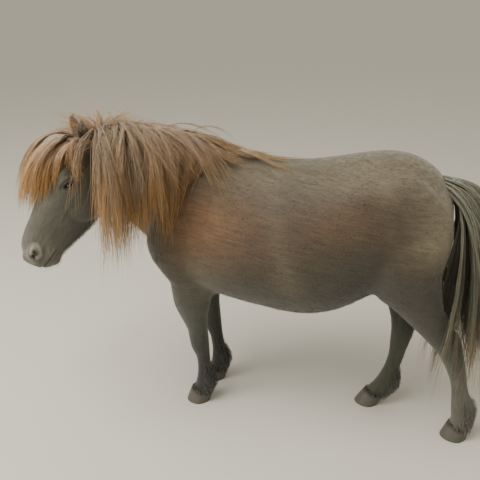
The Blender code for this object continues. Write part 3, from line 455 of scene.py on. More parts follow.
points, normals = points_of(skin.data), read(skin.data, "normal")
rise, crease = folds(points)
zone = regions(points)
depth = COAT_DEPTH * (1 - 0.6 * zone["head"]) * (1 - zone["face"]) * (1 - zone["ear"])
points = points + normals * (rise - depth)[:, None]
for side in (LEFT, RIGHT):
    points = closed_lids(points, side)
skin.data.vertices.foreach_set("co", (points + SHIFT).ravel())
skin.data.update()
skin.data.shade_smooth()
skin_tree = BVHTree.FromObject(skin, bpy.context.evaluated_depsgraph_get())
print("folds up to", round(float(rise.max()) * 1000, 1), "mm, coat", COAT_DEPTH * 1000, "mm deep")

# %% [markdown]
# The coat's colour. It is nearly black underneath, faded by the sun to red-brown on the shoulder and
# the ribs, and grey-brown along the back, the croup and the rump, partly dust and partly a painted sheen
# where the coat faces up. Legs, chest and flank stay dark, the face is grey-black with a paler muzzle, and
# the rims of the nostrils are worn to grey skin. Painted shade darkens the ribs, the loin, the lower fore
# legs, the jaw and the holes and creases of the face, and painted light brightens the rump, the shoulder
# and the elbow. Each mark is a bell or a ramp in the pony's measures. Skin and tufts ask the same function.

# %% Markings of the coat, with painted light and shade
DARK, BLACK, SOOT = linear("#343022"), linear("#2f2c26"), linear("#33362a")
# The dust grey at the end of the next line also stands for a painted sheen on the coat's upper side.
RUST, BROWN, DUST_AND_SHEEN = linear("#66492e"), linear("#413527"), linear("#655d4a")
# The last colour on the next line is painted shade: near black for holes, creases and the shaded lower fore
# legs.
FACE, MUZZLE, RIM, PAINTED_SHADE = linear("#504f45"), linear("#66635a"), linear("#8a8478"), linear("#0c0b09")
RUSTY = ((0.78, -0.3, 0.79, 0.16, 0.13), (0.45, -0.08, 0.8, 0.12, 0.13))
# Painted light and shade, as marks (share, x, z, width, height) that scale the coat's colour: painted shade
# darkens the ribs and the loin, and painted light brightens the rump, the shoulder and the elbow.
PAINTED_LIGHT_AND_SHADE = (
    ((-0.33, 0.02, 0.89, 0.24, 0.16),),
    ((0.4, 0.5, 0.82, 0.1, 0.13), (-0.26, -0.08, 0.74, 0.12, 0.13)),
    ((0.22, -0.24, 0.8, 0.09, 0.1), (0.35, -0.26, 0.48, 0.12, 0.1)),
)


def mottle(points, size, seed=0):
    """Uneven patches about this size: the mean of five waves that run in random ways, from -1 to 1."""
    draw = np.random.default_rng(seed)
    total = np.zeros(len(points))
    for _ in range(5):
        way = unit(draw.normal(size=3)) * 2 * math.pi / size * draw.uniform(0.7, 1.4)
        total += np.sin(points @ way + draw.uniform(0, 6.3) + 1.7 * np.sin(points @ way[[1, 2, 0]] * 0.6))
    return total / 5


def laid(base, colour, share):
    """Lays a colour over a base by a share from 0 to 1."""
    return base + (colour - base) * np.clip(share, 0, 1)[:, None]


def blobs(points, *marks, base=0):
    """The base plus soft round marks seen from the side: share x e^-((dx / wide)^2 + (dz / tall)^2)."""
    for share, x, z, wide, tall in marks:
        base = base + share * np.exp(-(((points[:, 0] - x) / wide) ** 2) - ((points[:, 2] - z) / tall) ** 2)
    return base


def body_colour(points, normals):
    """The trunk and the legs: each line lays one colour over a region or over marks (share, x, z, size)."""
    x, _, z = points.T
    patchy = mottle(points, 0.16)
    # A pale band down the barrel behind the shoulder, partly dust and partly a painted sheen.
    dust_and_sheen_streak = bell(x + 0.02 + (z - 0.8) * 0.25, 0.045) * ramp(z, 0.5, 0.62)
    # Grey where the coat faces up along the back, partly dust and partly a painted sheen from the light
    # above.
    back = ramp(normals[:, 2] + 0.12 * patchy, 0.25, 0.95) * ramp(z, 0.8, 0.95)
    underside = 0.35 * ramp(-z, -0.68, -0.56)
    colour = np.tile(DARK, (len(points), 1))
    colour = laid(colour, BROWN, 0.85 * ramp(z + 0.03 * patchy, 0.56, 0.72))
    colour = laid(colour, RUST, blobs(points, *RUSTY))
    colour = laid(colour, RUST, blobs(points, (0.45, 0.16, 0.84, 0.12, 0.08)))
    colour = laid(colour, DARK, blobs(points, (0.75, 0.2, 0.66, 0.14, 0.13), (0.5, -0.12, 0.62, 0.08, 0.1)))
    colour = laid(colour, DUST_AND_SHEEN, 0.35 * dust_and_sheen_streak)
    colour = laid(colour, DUST_AND_SHEEN, blobs(points, (0.3, -0.28, 0.6, 0.08, 0.09)))
    colour = laid(colour, DUST_AND_SHEEN, 0.75 * back)
    # Grey over the croup and the rump, partly dust and partly a painted sheen.
    colour = laid(colour, DUST_AND_SHEEN, 0.95 * ramp(x, 0.34, 0.5) * ramp(z, 0.66, 0.8))
    colour = laid(colour, BLACK, blobs(points, (0.5, 0.42, 0.6, 0.12, 0.09)))
    colour = laid(colour, DARK, 0.7 * ramp(-x, 0.36, 0.44) * ramp(-z, -0.86, -0.74))
    colour = laid(colour, BLACK, blobs(points, (0.85, 0.28, 0.6, 0.15, 0.14), base=underside))
    # Painted light and shade: each row of marks makes the colour lighter or darker.
    for marks in PAINTED_LIGHT_AND_SHADE:
        colour = colour * blobs(points, *marks, base=1)[:, None]
    legs = ramp(-z, -0.52, -0.38)
    colour = laid(colour, SOOT, legs)
    # Painted shade darkens the lower fore legs nearly to black.
    colour = laid(colour, PAINTED_SHADE, 0.75 * legs * (x < 0) * ramp(-z, -0.36, -0.2))
    return laid(colour, MUZZLE, 0.45 * legs * ramp(x, 0.5, 0.56) * ramp(-z, -0.42, -0.2))


def face_colour(points, crease):
    """The head: paler down the front and on the muzzle, with painted shade: black towards the jaw and in the
    folds and nostrils.
    """
    out, front, along = in_head(points).T
    colour = np.tile(FACE, (len(points), 1))
    # Painted shade: black towards the jaw, away from the front of the head.
    colour = laid(colour, BLACK, 0.8 * ramp(-front, 0.0, 0.085))
    lids = np.hypot(along - EYE[2] + 0.012, front - EYE[1] - 0.02)
    colour = laid(colour, RIM, 0.3 * bell(lids, 0.014) * (np.abs(out) > 0.03))
    colour = laid(colour, MUZZLE, 0.75 * ramp(along, 0.33, 0.43) + 0.35 * ramp(front, 0.03, 0.09))
    middle = bell(out, 0.035) * ramp(front, 0.0, 0.05)
    colour = laid(colour, BLACK, middle * (0.6 - 0.25 * ramp(along, 0.33, 0.43)))
    rims = np.zeros(len(points))
    for side in (LEFT, RIGHT):
        deep, long, wide = nostril_frame(side) @ (points - on_head(side, *NOSTRIL)).T
        rims += bell(np.hypot(long / NOSTRIL_LONG, wide / NOSTRIL_WIDE) - 1.05, 0.3) * (np.abs(deep) < 0.03)
    colour = laid(colour, RIM, 0.75 * rims)
    colour = laid(colour, BLACK, 0.6 * regions(points)["ear"])
    # Painted shade fills the holes and creases of the face.
    return laid(colour, PAINTED_SHADE, crease)


def coat_colour(points, normals, crease=None):
    """The colour at each place of the coat, with fine uneven patches of its own."""
    crease = np.zeros(len(points)) if crease is None else crease
    colour = body_colour(points, normals)
    head = ramp(in_head(points)[:, 2], -0.02, 0.04) * regions(points)["head"]
    colour = laid(colour, BLACK, 0.5 * ramp(-points[:, 0], 0.4, 0.5) * (points[:, 2] > 0.55))
    colour = colour * (1 - head[:, None]) + face_colour(points, crease) * head[:, None]
    shade = 1 + 0.1 * mottle(points, 0.05, 3) + 0.07 * mottle(points, 0.018, 4)
    return colour * shade[:, None]


def grain_places(points):
    """Where each place lies in the grain, which runs back on the trunk, and down the legs and the nose."""
    out, front, along = in_head(points).T
    x, y, z = points.T
    head = ramp(along, -0.02, 0.04) * regions(points)["head"]
    grain = laid(rows(x * 14, y * 30, z * 140 + x * 17), rows(along * 14, out * 140, front * 140), head)
    return laid(grain, rows(z * 14, x * 110, y * 110), ramp(-z, -0.5, -0.4) * (x > -0.5))


def write_grain(mesh, grain):
    """Keeps each point's place in the grain, which the coat's material reads."""
    layer = mesh.attributes.new("grain", "FLOAT_VECTOR", "POINT")
    layer.data.foreach_set("vector", grain.astype(np.float32).ravel())


points = points_of(skin.data)
write_grain(skin.data, grain_places(points))
skin_colour = coat_colour(points, read(skin.data, "normal"), folds(points)[1])
mark(skin.data, skin_colour)
print("mean colour of the skin", skin_colour.mean(axis=0).round(3))

# %% [markdown]
# The coat's material is short horse hair over skin: dull, with a soft gleam where hairs lie together.
# Hairs lie back along the trunk in fine ripples about 7 mm apart, which a noise stretched along the body
# gives as bump. A finer noise, 1.5 mm across, stands for single hairs.


# %% Material of the coat
def coat_material():
    """Short hair: dull, with a soft sheen. Noise along the grain gives ripples and single hairs."""
    look = {"Specular IOR Level": 0.35, "Sheen Weight": 0.25, "Sheen Roughness": 0.5}
    material, tree, shader = new_material("short horse hair", Roughness=0.62, **look)
    grain = add(tree, "Attribute", {"attribute_name": "grain"}).outputs["Vector"]
    marks = add(tree, "Attribute", {"attribute_name": "markings_and_painted_light"}).outputs["Color"]
    ripple = add(tree, "TexNoise", Vector=grain, Scale=1.0, Detail=3.0, Distortion=0.4).outputs["Fac"]
    single = add(tree, "TexNoise", Vector=grain, Scale=6.0, Detail=2.0).outputs["Fac"]
    lift = add(tree, "MapRange", i0=ripple, i1=0.3, i2=0.7, i3=0.76, i4=1.24).outputs[0]
    fleck = add(tree, "MapRange", i0=single, i1=0.3, i2=0.7, i3=0.88, i4=1.12).outputs[0]
    shade = add(tree, "Math", {"operation": "MULTIPLY"}, i0=lift, i1=fleck).outputs[0]
    tint = add(tree, "VectorMath", {"operation": "SCALE"}, i0=marks, Scale=shade).outputs[0]
    tree.links.new(tint, shader.inputs["Base Color"])
    height = add(tree, "Math", {"operation": "ADD"}, i0=ripple, i1=single).outputs[0]
    bump = add(tree, "Bump", Height=height, Strength=0.6, Distance=0.0016).outputs[0]
    tree.links.new(bump, shader.inputs["Normal"])
    return material


COAT = coat_material()
skin.data.materials.clear()
skin.data.materials.append(COAT)
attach(skin, "root")
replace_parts(skin, *FLESH)
print("coat material:", len(COAT.node_tree.nodes), "nodes")

# %% [markdown]
# Long hair falls the same way everywhere: a hair leaves its root one way, and at each step gravity and
# a lean turn it further down, while the skin below pushes it out. These guide lines are found first,
# all at once, step by step. Only the question which skin is nearest is asked one point at a time.


# %% Guide lines of the locks
def nearest(spots):
    """The nearest places of the skin and its normals there, in the pony's measures."""
    found = [skin_tree.find_nearest(Vector(spot)) for spot in spots + SHIFT]
    return np.array([f[0] for f in found]) - SHIFT, np.array([f[1] for f in found])


def fall(roots, ways, leans, lengths, sag, clear, steps=7):
    """Lines of steps + 1 points, and the way out from the skin at each.

    Each step adds sag times (lean - up) to the way and walks a step of it. A point that comes nearer
    to the skin than clear is lifted along the skin's normal.
    """
    spots, outs = [roots], []
    ways = unit(ways)
    for _ in range(steps):
        ways = unit(ways + (leans - UP) * np.reshape(sag, (-1, 1)))
        spot = spots[-1] + ways * np.reshape(lengths / steps, (-1, 1))
        near, normal = nearest(spot)
        short = clear - ((spot - near) * normal).sum(axis=1)
        spot = np.where(short[:, None] > 0, near + normal * np.reshape(clear, (-1, 1)), spot)
        ways = unit(spot - spots[-1])
        outs.append(unit(spot - near))
        spots.append(spot)
    return np.stack(spots, axis=1), np.stack([outs[0]] + outs, axis=1)


def redrawn(lines, count):
    """Each line again with count points, on cubics whose slope is half the step between the neighbours."""
    last = lines.shape[1] - 1
    place = np.linspace(0, last, count)
    first = np.minimum(place.astype(int), last - 1)
    t = (place - first)[None, :, None]
    a, b, c, d = (lines[:, np.clip(first + k, 0, last)] for k in (-1, 0, 1, 2))
    return b + t * ((c - a) / 2 + t * ((a - 2.5 * b + 2 * c - d / 2) + t * ((d - a) / 2 + 1.5 * (b - c))))


def down_to_skin(places, count):
    """Places on top of the neck below a smooth line through these x and y."""
    line = redrawn(np.array([[(x, y, 2.0) for x, y in places]]), count)[0]
    hits = [skin_tree.ray_cast(Vector(spot), Vector((0, 0, -1)))[0] for spot in line + SHIFT]
    return np.array(hits) - SHIFT


CREST_ROWS = ((-0.27, 0.0), (-0.36, -0.01), (-0.45, -0.04))
CREST_ROWS += ((-0.53, -0.088), (-0.6, -0.132), (-0.655, -0.166))
CREST_POINTS, FIRST_AT_POLL = 60, 50
crest = down_to_skin(CREST_ROWS, CREST_POINTS)
crest_way = unit(np.gradient(crest, axis=0))
crest_side = unit(np.cross(crest_way, UP))
print("crest from", crest[0].round(2), "to", crest[-1].round(2))

# %% [markdown]
# A lock is a bundle of strands round its guide: flat, narrow at the root, widest at a third of the way
# and drawn together at the tip. Each strand keeps its own place in the bundle, wanders a little, ends
# a little sooner or later than its neighbours, and is a three-sided tube that tapers to a point.
# Horse hair is 0.1 mm thick. One strand stands for a wisp of such hairs, so it is about 1.3 mm wide.

# %% Strands
RINGS = 10
STRAND_WIDTHS = ((0, 0.15, 0.4, 0.75, 1.0), (0.6, 0.85, 1.0, 0.8, 0.42))
CORNERS = (math.pi / 2, math.pi * 7 / 6, math.pi * 11 / 6)


def strand_faces(count, rings):
    """The triangles of count closed three-sided tubes with this many rings and a tip."""
    faces = [(0, 1, 2)]
    for ring in range(rings - 1):
        for k in range(3):
            a, b = 3 * ring + k, 3 * ring + (k + 1) % 3
            faces += [(a, b + 3, b), (a, a + 3, b + 3)]
    for k in range(3):
        faces.append((3 * rings - 3 + (k + 1) % 3, 3 * rings - 3 + k, 3 * rings))
    steps = np.arange(count)[:, None, None] * (3 * rings + 1)
    return (np.array(faces)[None] + steps).reshape(-1, 3)


def strands(lines, outs, half, thick, per, radius, seed, stray, ends, rings=RINGS):
    """The points of per strands for each guide, their shares along, and each strand's guide and chance.

    A strand's point is its guide's point + side x across x width(t) + out x depth, plus two slow sine
    waves that grow with t. Round it stand three points, radius x (1 - 0.8 t^2) away.
    """
    draw = np.random.default_rng(seed)
    fine = redrawn(lines, 4 * rings)
    fine_outs = unit(redrawn(outs, 4 * rings))
    owner = np.repeat(np.arange(len(lines)), per)
    count = len(owner)
    half, thick = (np.broadcast_to(size, len(lines))[owner][:, None] for size in (half, thick))
    across = np.clip(draw.normal(0, 0.5, count), -1, 1)
    depth = draw.uniform(0, 1, count)
    end = draw.uniform(*ends, count) * (1 - 0.12 * np.abs(across))
    t = np.linspace(0, 1, rings + 1)[None] * end[:, None]
    place = np.clip(t, 0, 1) * (fine.shape[1] - 1)
    first = np.minimum(place.astype(int), fine.shape[1] - 2)
    part = (place - first)[..., None]
    mine = owner[:, None]
    spot = fine[mine, first] * (1 - part) + fine[mine, first + 1] * part
    ahead = unit(fine[mine, first + 1] - fine[mine, first])
    out = fine_outs[mine, first]
    side = unit(np.cross(ahead, out))
    out = np.cross(side, ahead)
    spot = spot + ahead * (np.maximum(t - 1, 0) * 0.3)[..., None]
    wide = np.interp(t, *STRAND_WIDTHS) * half
    waves = [np.sin(t * draw.uniform(3, 9, (count, 1)) + draw.uniform(0, 6.3, (count, 1))) for _ in range(2)]
    drift = draw.normal(0, 1, (count, 1)) * t**2
    spot = spot + side * (across[:, None] * wide + stray * t * waves[0] + stray * 1.5 * drift)[..., None]
    lift = depth[:, None] * thick * np.sqrt(t + 0.1) + stray * 0.6 * t * waves[1]
    spot = spot + out * lift[..., None]
    taper = 1 - 0.8 * np.linspace(0, 1, rings + 1)[None] ** 2
    size = radius * draw.uniform(0.75, 1.25, (count, 1)) * taper
    body, tip = spot[:, :-1], spot[:, -1:]
    steps = [side[:, :-1] * math.cos(turn) + out[:, :-1] * math.sin(turn) for turn in CORNERS]
    ring = np.stack([body + step * size[:, :-1, None] for step in steps], axis=2).reshape(count, -1, 3)
    shares = np.concatenate([np.repeat(t[:, :-1], 3, axis=1), t[:, -1:]], axis=1)
    made = np.concatenate([ring, tip], axis=1)
    return made, shares, owner, draw.uniform(0, 1, count)


print("one strand:", 3 * RINGS + 1, "points,", len(strand_faces(1, RINGS)), "triangles")

# %% [markdown]
# Hair has its colour by place: brown-mauve and dusty where the sun and the wind bleach its upper side,
# dark inside, and rust to gold towards the ends, partly bleached and partly a painted glow where the
# light shines through. A lock has a tint of its own, and so has each strand in it.


# %% Colours of the long hair
LOCK_TINT, STRAND_TINT = 0.16, 0.42


def hair_colours(grown, stops, seed):
    """Blends the stops (share, colour) along each strand, times a tint for its lock and one of its own."""
    _, shares, owner, chance = grown
    draw = np.random.default_rng(seed)
    at = [share for share, _ in stops]
    table = np.array([linear(code) for _, code in stops])
    shift = draw.uniform(-0.12, 0.12, owner.max() + 1)[owner] + (chance - 0.5) * 0.24
    place = np.clip(shares + shift[:, None] * shares, 0, 1.2)
    colour = np.stack([np.interp(place, at, table[:, k]) for k in range(3)], axis=2)
    lock = 1 + draw.uniform(-LOCK_TINT, LOCK_TINT, owner.max() + 1)[owner]
    own = 1 + (draw.uniform(0, 1, len(owner)) - 0.5) * 2 * STRAND_TINT
    return colour * (lock * own)[:, None, None]


def greyed(colour, chosen, code, share):
    """Pulls the chosen strands towards another colour."""
    colour[chosen] += (linear(code) - colour[chosen]) * share
    return colour


def hair_material():
    """Long horse hair: a smooth, waxy fibre whose gleam runs along it, with fine flecks in its colour."""
    look = {"Specular IOR Level": 0.4, "Sheen Weight": 0.15}
    material, tree, shader = new_material("long horse hair", Roughness=0.5, **look)
    place = add(tree, "TexCoord").outputs["Object"]
    marks = add(tree, "Attribute", {"attribute_name": "markings_and_painted_light"}).outputs["Color"]
    fleck = add(tree, "TexNoise", Vector=place, Scale=160.0, Detail=3.0).outputs["Fac"]
    shade = add(tree, "MapRange", i0=fleck, i1=0.3, i2=0.7, i3=0.85, i4=1.15).outputs[0]
    tint = add(tree, "VectorMath", {"operation": "SCALE"}, i0=marks, Scale=shade).outputs[0]
    tree.links.new(tint, shader.inputs["Base Color"])
    bump = add(tree, "Bump", Height=fleck, Strength=0.3, Distance=0.0004).outputs[0]
    tree.links.new(bump, shader.inputs["Normal"])
    return material


HAIR = hair_material()
MAP_COLUMNS, MAP_EDGE, PATCH = 260, 0.01, 0.003


def own_strips(order, shares):
    """A strip of the baking map for each strand, in the order of the roots, and none over another."""
    rank = np.argsort(np.argsort(order, kind="stable"), kind="stable")
    lanes = math.ceil(len(order) / MAP_COLUMNS)
    within = 1 - 2 * MAP_EDGE
    across = MAP_EDGE + within * (rank // lanes + 0.5) / MAP_COLUMNS
    down = (rank % lanes)[:, None] / lanes + np.clip(shares, 0, 1.05) * 0.85 / lanes
    corner = np.tile((0.0, -PATCH / 2, PATCH / 2), (shares.shape[1] + 2) // 3)[: shares.shape[1]]
    return np.stack([across[:, None] + corner, MAP_EDGE + within * down], axis=2)


def hair_piece(name, grown, colours):
    """Joins the strands into one mesh."""
    made, shares, owner, chance = grown
    count, size = shares.shape
    places = own_strips(owner + chance, shares)
    faces = strand_faces(count, (size - 1) // 3)
    return new_piece(name, made.reshape(-1, 3), faces, HAIR, colours.reshape(-1, 3), places.reshape(-1, 2))


# %% [markdown]
# The mane springs from the crest and falls over the near side in three layers, one over the other,
# the later ones rising higher before they fall. Over the chest it reaches below the throat.

# %% Mane on the near side
LAYERS = ((50, 0.6, 0.006), (64, 1.4, 0.014), (84, 2.4, 0.024))
ROOT_DEPTH = UP * 0.008


def mane_guides(seed):
    """Guides of the near side, in layers of (count, how high the hair first rises, gap to the skin)."""
    draw = np.random.default_rng(seed)
    layers = []
    for count, rise, clear in LAYERS:
        share = ((np.arange(count) + 0.5 + draw.uniform(-0.3, 0.3, count)) / count) ** 0.7
        place = np.clip((share * (CREST_POINTS - 1)).round().astype(int), 0, CREST_POINTS - 1)
        across = crest_side[place] * LEFT
        root = crest[place] - ROOT_DEPTH + across * draw.uniform(-0.004, 0.012, (count, 1))
        lean_x = -0.15 + 0.13 * share - 0.02 * share**4 - 0.1 * (1 - share) ** 4
        lean_x = lean_x + np.clip(draw.normal(0, 0.06, count), -0.1 * (1 - share**3), 0.12)
        lean = rows(lean_x, draw.normal(0, 0.03, count), 0.0)
        length = 0.55 - 0.14 * (1 - share) - 0.2 * (1 - share) ** 3 - 0.14 * draw.uniform(0, 1, count) ** 2
        height = rise * draw.uniform(0.75, 1.2, (count, 1))
        layers.append((root, across + UP * height, lean, length, np.full(count, clear)))
    root, way, lean, length, clear = (np.concatenate(column) for column in zip(*layers))
    return fall(root, way, lean, length, 0.62, clear)


def two_pieces(names, grown, colours, node):
    """Each half of the strands as a piece of its own. Together they stand in for one solid."""
    first = np.arange(len(grown[2])) < len(grown[2]) // 2
    for name, chosen in zip(names, (first, ~first)):
        piece = hair_piece(name, [values[chosen] for values in grown], colours[chosen])
        if name == names[0]:
            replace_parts(piece, node)


# The gold at the ends of the stops is partly a painted glow, where light shines through the hair.
MANE_STOPS = ((0.0, "#85776a"), (0.12, "#a89681"), (0.4, "#836e58"), (0.7, "#8c6a42"), (1.0, "#c08d40"))
SUN_FADED = linear("#8f8173") / linear("#8f8173").mean()
draw = np.random.default_rng(21)
lines, outs = mane_guides(12)
halves = draw.uniform(0.009, 0.02, len(lines))
grown = strands(lines, outs, halves, halves * 0.7, 21, 0.0007, 31, 0.007, (0.7, 1.03))
colours = hair_colours(grown, MANE_STOPS, 32)
# At the rear of the mane the upper strands are greyed towards the sun-faded colour, and painted light makes
# them up to twice as bright against the shade that the strands cast on each other.
rear = (ramp(grown[0][:, :1, 0], -0.52, -0.4) * ramp(-grown[1], -0.8, -0.3))[..., None]
dusty = colours.mean(axis=2, keepdims=True) * SUN_FADED
colours = (colours + (dusty - colours) * 0.55 * rear) * (1 + rear)
grey_locks = np.flatnonzero(draw.uniform(0, 1, len(lines)) < 0.2)
colours = greyed(colours, np.isin(grown[2], grey_locks), "#77706a", 0.5)
colours = greyed(colours, grown[3] < 0.08, "#c9a97c", 0.5)
two_pieces(("mane_inner", "mane_outer"), grown, colours, "mane")
print("mane:", len(lines), "locks, lowest", lines[:, -1, 2].min().round(3))

# %% [markdown]
# Behind the withers the wind has blown a sheaf of the mane back over the shoulder, and it draws thin
# strands across the others. On the far side, short locks cover the crest. Single hairs stand off it.

# %% Blown-back hair, strands across, the far side and loose hairs
BLOWN = 30


def sheaf(seed):
    """Locks from the rear half of the crest that fly back and settle on the back, one over the other."""
    draw = np.random.default_rng(seed)
    place = np.linspace(0, 27, BLOWN).astype(int)
    way = rows(0.55, draw.uniform(-0.35, 0.12, BLOWN), draw.uniform(0.4, 0.8, BLOWN))
    lean = rows(1.1, draw.uniform(-0.2, 0.08, BLOWN), draw.uniform(0.05, 0.3, BLOWN))
    clear = 0.005 + 0.0011 * np.arange(BLOWN)
    return fall(crest[place] - ROOT_DEPTH, way, lean, draw.uniform(0.19, 0.34, BLOWN), 0.34, clear)


def swept_top(seed, count=70):
    """Loose strands all along the crest that the wind sweeps back over the others before they fall."""
    draw = np.random.default_rng(seed)
    place = draw.integers(14, CREST_POINTS, count)
    way = rows(draw.uniform(0.2, 0.9, count), draw.uniform(-0.6, 0.3, count), 0.9)
    lean = rows(draw.uniform(0.4, 1.2, count), draw.uniform(-0.3, 0.05, count), 0.0)
    clear = draw.uniform(0.015, 0.045, count)
    return fall(crest[place] - ROOT_DEPTH, way, lean, draw.uniform(0.12, 0.32, count), 0.36, clear)


def crossing(seed, count=74):
    """Thin strands over the rest, which the wind has drawn back across the others."""
    draw = np.random.default_rng(seed)
    place = draw.integers(16, CREST_POINTS, count)
    lean = rows(draw.uniform(0.05, 0.75, count), -0.03, 0.0)
    way = crest_side[place] * LEFT + UP * 2.6
    length, clear = draw.uniform(0.26, 0.48, count), draw.uniform(0.026, 0.04, count)
    return fall(crest[place] - UP * 0.006, way, lean, length, 0.5, clear)


def far_side(seed, count=64):
    """Locks that fall over the far side of the crest."""
    draw = np.random.default_rng(seed)
    share = (np.arange(count) + draw.uniform(0.1, 0.9, count)) / count
    place = (share * (CREST_POINTS - 1)).astype(int)
    way = crest_side[place] * RIGHT + UP * 0.9
    lean = rows(draw.normal(0, 0.09, count), 0.0, 0.0)
    clear = draw.uniform(0.004, 0.016, count)
    return fall(crest[place] - ROOT_DEPTH, way, lean, draw.uniform(0.19, 0.33, count), 0.62, clear)


def loose_hairs(seed, count=280):
    """Single hairs that the wind lifts off the crest, and more of them at the poll."""
    draw = np.random.default_rng(seed)
    share = draw.uniform(0, 1, count) ** 0.55
    at_poll = ramp(share, 0.85, 1.0)
    reach = draw.normal(0.35 - 0.5 * at_poll, 0.5, count)
    way = rows(reach, draw.normal(-0.15, 0.3, count), 0.9)
    lean = rows(1.4 * reach, draw.uniform(-0.4, 0.1, count), 0.3)
    length = draw.uniform(0.06, 0.14, count) * (1 + 0.15 * at_poll)
    place = (share * (CREST_POINTS - 1)).astype(int)
    return fall(crest[place] - ROOT_DEPTH, way, lean, length, 0.3, 0.01, 6)


BLOWN_STOPS = ((0.0, "#85776a"), (0.3, "#99846f"), (0.7, "#93754f"), (1.0, "#b08a4c"))
ACROSS_STOPS = ((0.0, "#a8957e"), (0.3, "#a08a74"), (0.7, "#997650"), (1.0, "#c0924c"))
for name, (lines, outs), half, per, radius, stray, stops in (
    ("mane_blown_back", sheaf(41), 0.012, 26, 0.0007, 0.005, BLOWN_STOPS),
    ("mane_swept_top", swept_top(49), 0.008, 13, 0.0005, 0.006, BLOWN_STOPS),
    ("mane_far_side", far_side(42), 0.015, 19, 0.0008, 0.005, MANE_STOPS),
    ("mane_across", crossing(48), 0.009, 9, 0.0005, 0.007, ACROSS_STOPS),
    ("mane_loose_hairs", loose_hairs(43), 0.004, 4, 0.0004, 0.006, BLOWN_STOPS),
):
    halves = half * np.random.default_rng(44).uniform(0.7, 1.3, len(lines))
    grown = strands(lines, outs, halves, halves * 0.5, per, radius, 45, stray, (0.6, 1.03))
    hair_piece(name, grown, hair_colours(grown, stops, 46))

# %% [markdown]
# The forelock is a curtain that the wind fans forward over the brow. Its roots lie between the ears, and
# its lowest layer clings to the brow. On the near side, loose tan strands fall beside the eye, and a band
# of hair crosses the ear. No lock hangs before the eye, as the wind holds them off it.

# %% Forelock
FORELOCK_LAYERS = ((30, 0.1, 0.006, 0.42), (34, 0.6, 0.016, 0.44), (42, 1.0, 0.026, 0.48))
FORELOCK_LAYERS += ((42, 1.3, 0.034, 0.52),)
NEAR_REACH, REACH_SOFT = -0.33, 0.03
EYE_GAP, SIDE_GAP = 0.024, 0.014


def forelock_guides(seed):
    """Guides in a fan from the far ear to the near one, in layers of (count, rise, gap to the skin, sag)."""
    draw = np.random.default_rng(seed)
    layers = []
    for layer, (count, rise, clear, sag) in enumerate(FORELOCK_LAYERS):
        fan = (np.arange(count) + 0.5) / count * 2.1 - 0.8 + draw.uniform(-0.08, 0.08, count)
        spot = rows(0.026 * fan, 0.012 + 0.008 * layer, 0.035 - 0.011 * layer)
        near, normal = nearest(POLL + spot @ HEAD_AXES)
        way = unit(rows(0.3 * fan + 0.05, 0.6, 0.3) @ HEAD_AXES) + UP * rise
        lean = HEAD_FACING * -0.02 + HEAD_LEFT * (0.05 * fan + draw.normal(0, 0.04, count))[:, None]
        length = (0.335 + 0.02 * layer) * (1 - 0.46 * ramp(fan, -0.2, 1.2))
        length = length - 0.06 * draw.uniform(0, 1, count) ** 2
        root = near - normal * 0.006
        layers.append((root, way, lean, length, np.full(count, sag), np.full(count, clear)))
    return fall(*(np.concatenate(column) for column in zip(*layers)))


def held_back(lines):
    """Presses back what lies beyond the near reach: reach - soft x tanh(excess / soft)."""
    excess = np.maximum(NEAR_REACH - lines[..., 1], 0)
    pressed = NEAR_REACH - REACH_SOFT * np.tanh(excess / REACH_SOFT)
    lines[..., 1] = np.where(excess > 0, pressed, lines[..., 1])
    return lines


def side_hair(seed, count=26):
    """Tan strands from in front of the near ear that fall over the brow and behind the eye."""
    draw = np.random.default_rng(seed)
    spot = rows(draw.uniform(0.0, 0.03, count), 0.04, draw.uniform(0.05, 0.09, count))
    near, normal = nearest(POLL + spot @ HEAD_AXES)
    way = HEAD_LEFT * 0.8 + HEAD_FRONT * draw.uniform(0.2, 0.4, (count, 1))
    lean = HEAD_LEFT * 0.05 + HEAD_FACING * draw.uniform(-0.8, -0.45, (count, 1))
    clear = draw.uniform(0.005, 0.018, count)
    return fall(near - normal * 0.004, way, lean, draw.uniform(0.07, 0.15, count), 0.5, clear)


def ear_band(seed, count=12):
    """Strands from behind the near ear that the wind has laid across its front."""
    draw = np.random.default_rng(seed)
    place = draw.integers(FIRST_AT_POLL, CREST_POINTS, count)
    way = HEAD_LEFT * 1.0 + UP * draw.uniform(0.2, 0.6, (count, 1))
    lean = HEAD_FACING * 1.6 + HEAD_LEFT * 0.3 + UP * 0.5
    clear = draw.uniform(0.006, 0.014, count)
    return fall(crest[place] - UP * 0.004, way, lean, draw.uniform(0.14, 0.2, count), 0.3, clear)


def poll_tuft(seed, count=190):
    """A fountain of loose hair between and behind the ears, which falls to all sides."""
    draw = np.random.default_rng(seed)
    turn = draw.uniform(0, 2 * math.pi, count)
    around = rows(1.1 * np.cos(turn), 0.6 * np.sin(turn), 0.0)
    root = crest[draw.integers(FIRST_AT_POLL, CREST_POINTS, count)]
    root = root + HEAD_LEFT * draw.uniform(-0.045, 0.025, (count, 1)) - ROOT_DEPTH
    way = UP * 1.7 + around * draw.uniform(0.3, 1.3, (count, 1))
    lean = around * 0.9 + UP * draw.uniform(0.0, 0.6, (count, 1))
    return fall(root, way, lean, draw.uniform(0.09, 0.21, count), 0.24, 0.012)


def clear_of_eye(lines, gap):
    """Which guides leave the near eye in sight: all their points keep this gap to its line of sight."""
    eye = on_head(LEFT, *EYE)
    sight = unit(CAMERA_PLACE - eye)
    away = redrawn(lines, 30) - eye
    ahead = away @ sight
    distance = np.linalg.norm(away - ahead[..., None] * sight, axis=2) + (ahead < 0)
    return distance.min(axis=1) > gap


